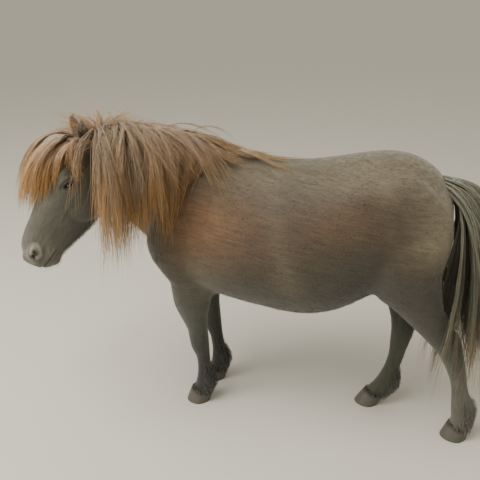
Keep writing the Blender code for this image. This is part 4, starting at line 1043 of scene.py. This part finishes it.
FORELOCK_STOPS = ((0.0, "#8a7561"), (0.2, "#a08876"), (0.55, "#a3835f"), (0.85, "#ab7f45"), (1.0, "#c3954c"))
lines, outs = forelock_guides(7)
kept = clear_of_eye(lines, EYE_GAP)
print("forelock:", len(kept), "guides, of which", (~kept).sum(), "hung before the eye")
lines, outs = held_back(lines[kept]), outs[kept]
halves = np.random.default_rng(51).uniform(0.008, 0.016, kept.sum())
grown = strands(lines, outs, halves, halves * 0.45, 22, 0.0007, 52, 0.0045, (0.7, 1.03))
colours = greyed(hair_colours(grown, FORELOCK_STOPS, 53), grown[3] < 0.1, "#6a5140", 0.6)
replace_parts(hair_piece("forelock_curtain", grown, colours), "forelock")
for name, (lines, outs), half, per, radius in (
    ("forelock_side", side_hair(55), 0.008, 18, 0.0005),
    ("forelock_over_ear", ear_band(58), 0.005, 12, 0.0005),
    ("poll_tuft", poll_tuft(59), 0.006, 6, 0.00055),
):
    kept = clear_of_eye(lines, SIDE_GAP)
    lines, outs = held_back(lines[kept]), outs[kept]
    grown = strands(lines, outs, half, half * 0.6, per, radius, 56, 0.006, (0.6, 1.03))
    hair_piece(name, grown, hair_colours(grown, FORELOCK_STOPS, 57))

# %% [markdown]
# The tail hangs from the dock to the fetlocks. Its locks start all round the dock. Those from high up
# fall furthest out, and a few more cover the dock. It is nearly black, and its ends are bleached to rust.

# %% Dock and tail
DOCK_ROWS = ((0.47, 0.0, 0.925), (0.512, 0.0, 0.916), (0.54, 0.003, 0.88))
DOCK_ROWS += ((0.55, 0.01, 0.83), (0.55, 0.018, 0.77))
DOCK_RADII = (0.03, 0.029, 0.025, 0.021, 0.014)
DOCK_POINTS = 30
TAIL_TIP = 0.14
TAIL_LOCKS, COVER_LOCKS = 110, 44
GOLDEN_SHARE = 0.618


def tube(line, radii, sides):
    """A closed tube along a line: rings of points at right angles to it, and a point at each end."""
    ahead = unit(np.gradient(line, axis=0))
    side = unit(np.cross(ahead, np.array([0.0, 1.0, 0.001])))
    out = np.cross(side, ahead)
    turn = np.linspace(0, 2 * math.pi, sides, endpoint=False)[None, :, None]
    step = (np.cos(turn) * side[:, None] + np.sin(turn) * out[:, None]) * radii[:, None, None]
    points = np.concatenate([(line[:, None] + step).reshape(-1, 3), line[:1], line[-1:]])
    return points, ringed(len(line), sides)


def tail_guides(seed):
    """Guides round the dock, each turned on from the last by the golden share of a turn."""
    draw = np.random.default_rng(seed)
    order = np.arange(TAIL_LOCKS)
    share = (order + 0.5) / TAIL_LOCKS
    turn = math.pi * (2 * ((order * GOLDEN_SHARE) % 1.0) - 1) * (0.4 + 0.6 * share)
    back, left = np.cos(turn) * (1.35 - 0.85 * share), np.sin(turn) * (1.35 - 0.85 * share)
    spot = dock[(2 + share * 27).astype(int)]
    way = rows(0.35 + 0.65 * back, 0.45 * left, 0.1 - 0.8 * share)
    bottom = TAIL_TIP + draw.uniform(0.0, 0.25, TAIL_LOCKS) * (0.3 + share * 0.5)
    lean_x = 0.01 + back * np.where(back > 0, 0.1, 0.2) + draw.normal(0, 0.02, TAIL_LOCKS)
    lean = rows(lean_x, 0.025 + 0.05 * left + draw.normal(0, 0.02, TAIL_LOCKS), 0.0)
    return fall(spot, way, lean, (spot[:, 2] - bottom) * 1.04, 0.9, 0.01)


def dock_cover(seed):
    """Shorter locks that spring from the top and the sides of the dock and hide it."""
    draw = np.random.default_rng(seed)
    turn = draw.uniform(-2.2, 2.2, COVER_LOCKS)
    root = dock[draw.integers(0, 9, COVER_LOCKS)] + rows(0.25, np.sin(turn), np.cos(turn)) * 0.024
    way = rows(0.9, 0.5 * np.sin(turn), 0.35 * np.cos(turn))
    lean = rows(draw.uniform(-0.06, 0.12, COVER_LOCKS), 0.025 + 0.08 * np.sin(turn), 0.0)
    return fall(root, way, lean, draw.uniform(0.2, 0.55, COVER_LOCKS), 0.6, 0.01)


dock = redrawn(np.array([DOCK_ROWS]), DOCK_POINTS)[0]
radii = np.interp(np.linspace(0, 1, DOCK_POINTS), np.linspace(0, 1, len(DOCK_RADII)), DOCK_RADII)
points, faces = tube(dock, radii, 24)
new_piece("dock", points, faces, HAIR, np.tile(linear("#4a463b"), (len(points), 1)))
TAIL_STOPS = ((0.0, "#7a7a6d"), (0.15, "#74766a"), (0.5, "#686b5a"), (0.8, "#75624c"), (1.0, "#966c43"))
lines, outs = (np.concatenate(pair) for pair in zip(tail_guides(12), dock_cover(64)))
halves = np.random.default_rng(60).uniform(0.012, 0.022, len(lines))
grown = strands(lines, outs, halves, halves * 0.8, 27, 0.0008, 61, 0.007, (0.7, 1.03))
colours = greyed(hair_colours(grown, TAIL_STOPS, 62), grown[3] < 0.1, "#7d5533", 0.6)
two_pieces(("tail_upper", "tail_lower"), grown, colours, "tail")
print("tail:", len(lines), "locks, lowest", lines[:, -1, 2].min().round(3))

# %% [markdown]
# The short coat. A summer coat lies flat, so most of it is the bump of the skin's material. Tufts of a
# few hairs, 8 to 24 mm long, lie over it and break its outline and its gleam. Each is a closed
# three-sided blade. Where hair lies is asked of one function: back along the trunk and down its side,
# down the legs, along the nose, and up the ears.


# %% Where hair lies
def lay_ways(points, normals):
    """The way the hair lies at each place, along the skin."""
    x, _, z = points.T
    along = in_head(points)[:, 2]
    zone = regions(points)
    swirl = 0.18 * mottle(points, 0.3, 5)
    way = rows(1.0, 0.1 * swirl, -0.22 + swirl)
    for share, aim in (
        (ramp(-x, 0.3, 0.45) * (z > 0.6), np.array([0.7, 0.0, -0.7])),
        (ramp(x, 0.3, 0.5), np.array([0.35, 0.0, -0.95])),
        (ramp(-z, -0.56, -0.45), np.array([0.12, 0.0, -1.0])),
        (ramp(along, 0.0, 0.06) * zone["head"], HEAD_ALONG),
        (zone["ear"], -HEAD_ALONG),
    ):
        way = laid(way, aim, share)
    way = way - normals * (way * normals).sum(axis=1, keepdims=True)
    return unit(way)


def scattered(count, seed, weight):
    """Places on the skin by chance, as dense as weight(points, normals) says, and the normals there."""
    draw = np.random.default_rng(seed)
    skin.data.calc_loop_triangles()
    corners = np.empty(len(skin.data.loop_triangles) * 3, dtype=np.int32)
    skin.data.loop_triangles.foreach_get("vertices", corners)
    corners = corners.reshape(-1, 3)
    points, normals = points_of(skin.data), read(skin.data, "normal")
    a, b, c = (points[corners[:, k]] for k in range(3))
    area = np.linalg.norm(np.cross(b - a, c - a), axis=1) / 2
    total = np.cumsum(area * weight((a + b + c) / 3, normals[corners[:, 0]]))
    pick = corners[np.searchsorted(total, draw.uniform(0, total[-1], count))]
    long, wide = np.sqrt(draw.uniform(0, 1, (count, 1))), draw.uniform(0, 1, (count, 1))
    shares = np.concatenate([1 - long, long * (1 - wide), long * wide], axis=1)[..., None]
    return (points[pick] * shares).sum(axis=1), unit((normals[pick] * shares).sum(axis=1))


print("hair on the croup lies", lay_ways(np.array([[0.3, 0.0, 1.0]]), UP[None])[0].round(2))

# %% [markdown]
# A tuft is seven points: three round its root, just below the skin, three just before its middle, and
# its tip. Tufts are long on the trunk and short on the face, where there are more of them.

# %% Tufts
TUFT_COUNT = 45000
TUFT_LENGTH = 0.017
TUFT_SLIMNESS = 15


def tuft_weight(points, normals):
    """More tufts for each square metre where they are small, and none on the lids and in the nostrils."""
    zone = regions(points)
    return (1 + 2.6 * zone["head"] + 0.6 * zone["leg"]) * (1 - zone["face"]) * (points[:, 2] > 0.075)


def tuft_sizes(points):
    """How long tufts are, from the trunk to the fine hair of the face."""
    zone = regions(points)
    return TUFT_LENGTH * (1 - 0.62 * np.maximum(zone["head"], zone["ear"])) * (1 - 0.4 * zone["leg"])


def tufts(points, normals, lengths, seed, lift=0.025):
    """Seven points for each tuft: three at the root, three at 45 percent of its length, and the tip."""
    draw = np.random.default_rng(seed)
    count = len(points)
    ahead = lay_ways(points, normals)
    side = np.cross(ahead, normals)
    ahead = unit(ahead + side * draw.normal(0, 0.16, (count, 1)))
    side = unit(np.cross(ahead, normals))
    lengths = (lengths * draw.uniform(0.7, 1.2, count))[:, None]
    tip_lift = lift * draw.uniform(0.3, 1.3, (count, 1))
    blade = []
    for share, height, wide in ((0.0, -0.05, 1.0), (0.45, lift, 0.8)):
        spot = points + ahead * lengths * share + normals * lengths * height
        half = lengths * wide / TUFT_SLIMNESS / 2
        for turn in CORNERS:
            blade.append(spot + side * half * math.cos(turn) + normals * half * 0.2 * math.sin(turn))
    blade.append(points + ahead * lengths + normals * lengths * tip_lift)
    return np.stack(blade, axis=1)


print(TUFT_COUNT, "tufts, on the trunk", round(TUFT_LENGTH * 1000), "mm long")

# %% [markdown]
# For baking, each tuft has a small patch of the map, at its root's place on the unrolled skin. The
# trunk, the neck, the head and each leg are rolled off round their own axes, each onto its own part.

# %% Unrolled skin and the pieces of the coat
LEG_AXES = np.array([[-0.33, -0.08], [-0.3, 0.08], [0.55, -0.06], [0.3, 0.06]])


def turned(across, up):
    """The angle round an axis, from 0 to 1."""
    return np.arctan2(across, up) / (2 * math.pi) + 0.5


def unrolled(points):
    """Places on the map: the trunk on its lower half, then the neck and the head, and the legs on top."""
    x, y, z = points.T
    out, front, along = in_head(points).T
    head = regions(points)["head"] > 0.5
    leg = (z < 0.5) & ~head
    neck = (x < -0.3) & ~head & ~leg
    leg_number = 2.0 * (x > 0.1) + (y > 0.045)
    leg_x, leg_y = LEG_AXES[leg_number.astype(int)].T
    u = 0.02 + 0.96 * (x + 0.32) / 1.0
    v = 0.02 + 0.4 * turned(y, z - 0.75)
    u = np.where(neck, 0.02 + 0.96 * (x + 0.8) / 0.55, u)
    v = np.where(neck, 0.45 + 0.15 * turned(y + 0.05, z - 0.8), v)
    u = np.where(head, 0.02 + 0.96 * (along + 0.08) / 0.58, u)
    v = np.where(head, 0.63 + 0.15 * turned(out, front + 0.03), v)
    u = np.where(leg, 0.01 + 0.24 * (leg_number + turned(y - leg_y, x - leg_x)), u)
    v = np.where(leg, 0.81 + 0.17 * z / 0.5, v)
    return np.clip(np.stack([u, v], axis=1), 0.003, 0.997)


def coat_piece(name, points, normals, made, base=None):
    """Joins tufts into one mesh, each with the skin's colour at its root, lightened as painted light, and a
    patch of the map.
    """
    count = len(points)
    draw = np.random.default_rng(71)
    base = coat_colour(points, normals) if base is None else base
    # Painted light: each tuft is 0.95 to 1.35 times the colour at its root, to make up for the shade that
    # tufts cast.
    colour = base * draw.uniform(0.95, 1.35, (count, 1))
    colour = np.repeat(colour, made.shape[1], axis=0)
    corner = np.array([(-1, -1), (1, -1), (0, -1), (-1, 0), (1, 0), (0, 0), (0, 1)]) * PATCH / 2
    places = unrolled(points)[:, None] + corner
    faces = strand_faces(count, 2)
    piece = new_piece(name, made.reshape(-1, 3), faces, COAT, colour, places.reshape(-1, 2), smooth=False)
    write_grain(piece.data, np.repeat(grain_places(points), made.shape[1], axis=0))


roots, ups = scattered(TUFT_COUNT, 70, tuft_weight)
made = tufts(roots, ups, tuft_sizes(roots), 72)
legs = roots[:, 2] < 0.5
head = ~legs & (regions(roots)["head"] > 0.5)
fore = ~(legs | head) & (roots[:, 0] < -0.1)
hind = ~(legs | head | fore)
for name, chosen in (("coat_head", head), ("coat_fore", fore), ("coat_hind", hind), ("coat_legs", legs)):
    coat_piece(name, roots[chosen], ups[chosen], made[chosen])

# %% [markdown]
# Longer hair grows in a few places even in summer: under the jaw, in and round the ears, behind the
# fetlocks, on the chest and the belly, and behind the stifle. It stands off more than the coat does.


# %% Fringes
def jaw_hair(points, normals):
    """Under the jaw, between its two edges."""
    out, _, along = in_head(points).T
    jaw = (normals @ HEAD_FRONT < -0.45) * regions(points)["head"]
    return jaw * ramp(along, 0.1, 0.18) * ramp(-along, -0.46, -0.4) * (np.abs(out) < 0.05)


def ear_hair(points, normals):
    """In the cups of the ears."""
    return (regions(points)["ear"] > 0.6) * (normals @ HEAD_FACING > 0.1)


def fetlock_hair(points, normals):
    """Behind the fetlocks, and a fringe over the top of the hooves."""
    z = points[:, 2]
    behind = (normals[:, 0] > 0.1) * ramp(z, 0.055, 0.08) * ramp(-z, -0.2, -0.13)
    return behind + 0.5 * (z > 0.05) * (z < 0.075)


def body_hair(points, normals):
    """On the chest, under the belly and behind the upper legs."""
    x, _, z = points.T
    chest = (normals[:, 0] < -0.3) * (x < -0.33) * ramp(z, 0.48, 0.55) * ramp(-z, -0.85, -0.75)
    belly = (normals[:, 2] < -0.6) * (z > 0.44) * (z < 0.62) * 0.7
    back_of_leg = (normals[:, 0] > 0.5) * (z > 0.2) * (z < 0.75) * (x > -0.28) * 0.7
    return (chest + belly + back_of_leg) * (regions(points)["head"] < 0.1)


FRINGES = (
    ("fringe_jaw", jaw_hair, 1300, 0.02, 0.3),
    ("fringe_ears", ear_hair, 900, 0.014, 0.2),
    ("fringe_fetlocks", fetlock_hair, 3000, 0.034, 0.25),
    ("fringe_body", body_hair, 5000, 0.02, 0.15),
)
for number, (name, weight, count, length, lift) in enumerate(FRINGES):
    spots, ups = scattered(count, 80 + number, weight)
    base = linear("#67553f") if weight is ear_hair else None
    coat_piece(name, spots, ups, tufts(spots, ups, np.full(len(spots), length), 90 + number, lift), base)

# %% [markdown]
# A horse's eye is a large dark ball: a brown-black iris with a level, oval pupil, a clear cornea that
# bulges, and hardly any white. Its shine comes from the wet film over it, which the coat layer of the
# material gives.

# %% Eyes
BALL_RINGS, BALL_SIDES = 36, 56


def eyeball(name, side):
    """A closed ball whose pole is the middle of the cornea: radius x (1 + 0.05 e^-(angle/0.5)^2)."""
    angle = np.pi * (np.arange(1, BALL_RINGS + 1) / (BALL_RINGS + 1)) ** 1.3
    turn = np.linspace(0, 2 * math.pi, BALL_SIDES, endpoint=False)
    angles, turns = (grid.ravel() for grid in np.meshgrid(angle, turn, indexing="ij"))
    angles, turns = np.append(angles, (0.0, math.pi)), np.append(turns, (0.0, 0.0))
    reach = EYE_RADIUS * (1 + 0.05 * bell(angles, 0.5))
    local = rows(np.sin(angles) * np.cos(turns), np.sin(angles) * np.sin(turns), np.cos(angles))
    local = local * reach[:, None]
    points = on_head(side, *EYE) + local @ eye_frame(side)
    faces = ringed(BALL_RINGS, BALL_SIDES)
    if np.linalg.det(eye_frame(side)) < 0:
        faces = faces[:, ::-1].copy()
    pupil = ramp(-np.hypot(local[:, 0] / 0.0062, local[:, 1] / 0.0036), -1.1, -0.9)
    streak = 1 + 0.25 * np.sin(turns * 23 + 3 * np.sin(turns * 5))
    colour = linear("#2c1c12") * streak[:, None]
    colour = laid(colour, linear("#15100c"), ramp(angles, 0.72, 0.85))
    colour = laid(colour, linear("#5a4d44"), ramp(angles, 0.95, 1.2))
    colour = laid(colour, linear("#030303"), pupil)
    eye = new_piece(name, points, faces, WET_EYE, colour)
    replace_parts(eye, name.replace("_ball", ""))


def eye_material():
    """A wet eyeball: dark and smooth, under the clear film of tears that the coat layer stands for."""
    look = {"Coat Weight": 1.0, "Coat Roughness": 0.03}
    material, tree, shader = new_material("wet dark eye", Roughness=0.12, **look)
    marks = add(tree, "Attribute", {"attribute_name": "markings_and_painted_light"}).outputs["Color"]
    tree.links.new(marks, shader.inputs["Base Color"])
    return material


WET_EYE = eye_material()
eyeball("left_eye_ball", LEFT)
eyeball("right_eye_ball", RIGHT)

# %% [markdown]
# Lashes stand in a row on the upper lid, longest in the middle, and long thin whiskers on the muzzle
# and the chin. Each is one strand.

# %% Lashes and whiskers
LASHES, LASH_POINTS, WHISKERS = 44, 5, 90
WHISKER_LENGTH = 0.022


def lashes(side, seed):
    """Lines from the upper lid outwards and a little down, longest in the middle."""
    draw = np.random.default_rng(seed)
    turn = np.linspace(0.35, math.pi - 0.35, LASHES) + draw.normal(0, 0.03, LASHES)
    local = rows(0.0175 * np.cos(turn), 0.0085 * np.sin(turn), 0.0)
    local[:, 2] = np.sqrt(EYE_RADIUS**2 - (local[:, :2] ** 2).sum(axis=1)) + 0.0016
    root = local @ eye_frame(side) + on_head(side, *EYE)
    reach = (0.006 + 0.006 * np.sin(turn)) * draw.uniform(0.8, 1.1, LASHES)
    way = unit(local * (0.6, 1.0, 1.2)) @ eye_frame(side)
    t = np.linspace(0, 1, LASH_POINTS)[None, :, None]
    lines = root[:, None] + (way * reach[:, None])[:, None] * t - UP * 0.004 * t * t
    return lines, np.repeat(way[:, None], LASH_POINTS, axis=1)


def whisker_spots(points, normals):
    """On the muzzle and the chin."""
    along = in_head(points)[:, 2]
    return ramp(along, 0.38, 0.44) * regions(points)["head"] * (normals @ HEAD_FACING > -0.6)


def whisker_guides():
    """Short lines that stand off the muzzle and droop a little."""
    spots, ups = scattered(WHISKERS, 104, whisker_spots)
    return fall(spots - ups * 0.001, ups + HEAD_ALONG * 0.4, ups * 0.0, WHISKER_LENGTH, 0.12, 0.001, 5)


for name, (lines, outs), thick, radius, seed, stray, ends, rings, code in (
    ("lashes_left", lashes(LEFT, 101), 0.0003, 0.00022, 103, 0.0002, (0.9, 1), 5, "#17130f"),
    ("lashes_right", lashes(RIGHT, 102), 0.0003, 0.00022, 103, 0.0002, (0.9, 1), 5, "#17130f"),
    ("whiskers", whisker_guides(), 0.0005, 0.00018, 105, 0.001, (0.5, 1.0), 6, "#3a352d"),
):
    grown = strands(lines, outs, thick, thick, 1, radius, seed, stray, ends, rings)
    hair_piece(name, grown, np.tile(linear(code), (*grown[1].shape, 1)))

# %% [markdown]
# A hoof is a horn box. Its wall grows down from the coronet in ridges that run round it, slopes forward
# at the toe and stands steeper at the heel. Here rings of points follow the solid's own slope, and each
# ring's radius swells and shrinks a little, which makes the ridges. The table gives each hoof's middle,
# how far it steps forward from coronet to sole, its height, half its width and half its length.

# %% Hooves
HOOVES = {
    "left_fore": ((-0.33, -0.08), -0.01, 0.048, 0.037, 0.043),
    "right_fore": ((-0.311, 0.08), -0.01, 0.048, 0.037, 0.043),
    "left_hind": ((0.638, -0.067), -0.01, 0.048, 0.0365, 0.043),
    "right_hind": ((0.334, 0.063), -0.024, 0.05, 0.0365, 0.043),
}
HOOF_RINGS, HOOF_SIDES = 40, 72


def hoof_slope(name):
    """How much the coronet rises for each metre backwards, read off the solid's top ring."""
    points = points_of(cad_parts[name + "_hoof"].data)
    (x, y), _, height, _, _ = HOOVES[name]
    top = points[points[:, 2] > 0.7 * height]
    angle = np.arctan2(top[:, 1] - y, top[:, 0] - x).round(1)
    wedges = [top[angle == value] for value in np.unique(angle)]
    best = np.array([wedge[np.argmax(wedge[:, 2])] for wedge in wedges])
    return np.polyfit(best[:, 0] - x, best[:, 2], 1)


def hoof(name):
    """Rings from the coronet down to a flat sole, as wide as the solid's, with ridges 0.3 mm high."""
    (x, y), toe_step, _, half, reach = HOOVES[name]
    slope, level = hoof_slope(name)
    turn = np.linspace(0, 2 * math.pi, HOOF_SIDES, endpoint=False)
    share = np.linspace(0, 1, HOOF_RINGS)[:, None]
    heel = np.where(np.sin(turn) < 0, 1 - 0.25 * np.sin(turn) ** 2, 1.0)
    ridge = 1 + 0.009 * np.sin(share * 46 + 0.8 * np.sin(turn * 2)) * ramp(share, 0.05, 0.2)
    wide = half * (0.97 + 0.2 * share) * ridge
    deep = reach * (0.94 + 0.12 * share) * ridge
    px = x + toe_step * share - np.sin(turn) * deep * np.where(np.sin(turn) > 0, 1 + 0.12 * share, 0.9)
    py = y + np.cos(turn) * wide * heel
    pz = (level + (px - x) * slope) * (1 - share)
    rings = rows(px, py, pz)
    points = np.concatenate([rings.reshape(-1, 3), rings[:1].mean(axis=1), rings[-1:].mean(axis=1)])
    band = np.append(np.repeat(share[:, 0], HOOF_SIDES), (0.0, 1.0))
    colour = laid(np.tile(linear("#4d4a43"), (len(points), 1)), linear("#2d2b26"), ramp(-band, -0.25, 0.0))
    colour = colour * (1 + 0.12 * np.sin(band * 46 + 1.3) + 0.1 * mottle(points, 0.02, 9))[:, None]
    horn = new_piece(name + "_horn", points, ringed(HOOF_RINGS, HOOF_SIDES), HORN, colour)
    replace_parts(horn, name + "_hoof")


def horn_material():
    """Grey-black horn: dull, with fine scratches that run down the wall."""
    material, tree, shader = new_material("hoof horn", Roughness=0.48)
    place = add(tree, "TexCoord").outputs["Object"]
    marks = add(tree, "Attribute", {"attribute_name": "markings_and_painted_light"}).outputs["Color"]
    tree.links.new(marks, shader.inputs["Base Color"])
    grain = add(tree, "Mapping", Vector=place, Scale=(700.0, 700.0, 60.0)).outputs[0]
    grain = add(tree, "TexNoise", Vector=grain, Scale=1.0, Detail=2.0).outputs["Fac"]
    bump = add(tree, "Bump", Height=grain, Strength=0.4, Distance=0.0003).outputs[0]
    tree.links.new(bump, shader.inputs["Normal"])
    return material


HORN = horn_material()
for name in HOOVES:
    hoof(name)

# %% [markdown]
# The floor and the light. A pale matt floor runs out to the horizon under an overcast sky: a large soft
# lamp stands high to the front left, and the world's own grey light fills the shadows.

# %% Floor and light
FLOOR_REACH, FLOOR_SIDES = 400, 96
SKY_STRENGTH = 0.9
LOOKED_AT = Vector((0, 0, 0.7))


def studio():
    """The matt disc, 400 m out to every side, and the grey light of the sky."""
    material = new_material("matt pale floor", Base_Color=rgba("#c9c6bf"), Roughness=0.9)[0]
    angle = np.linspace(0, 2 * math.pi, FLOOR_SIDES, endpoint=False)
    ring = rows(np.cos(angle) * FLOOR_REACH, np.sin(angle) * FLOOR_REACH, 0.0)
    floor = loose("floor", ring, [tuple(range(FLOOR_SIDES))])
    floor.data.materials.append(material)
    world = bpy.data.worlds.new("overcast sky")
    world.use_nodes = True
    sky = world.node_tree.nodes["Background"].inputs
    sky["Color"].default_value, sky["Strength"].default_value = rgba("#e6e1cf"), SKY_STRENGTH
    scene.world = world


def lamp(name, place, power, size):
    """A square area lamp that looks at the pony's middle."""
    light = bpy.data.lights.new(name, "AREA")
    light.energy = power
    light.color = tuple(linear("#fffaf0"))
    light.size = size
    thing = placed(name, light)
    thing.location = np.array(place) + SHIFT
    thing.rotation_euler = (LOOKED_AT - Vector(place)).to_track_quat("-Z", "Y").to_euler()


studio()
lamp("sky lamp", (-1.6, -1.8, 4.2), 260, 3.2)
lamp("side lamp", (-3.2, -2.4, 1.8), 60, 2.0)
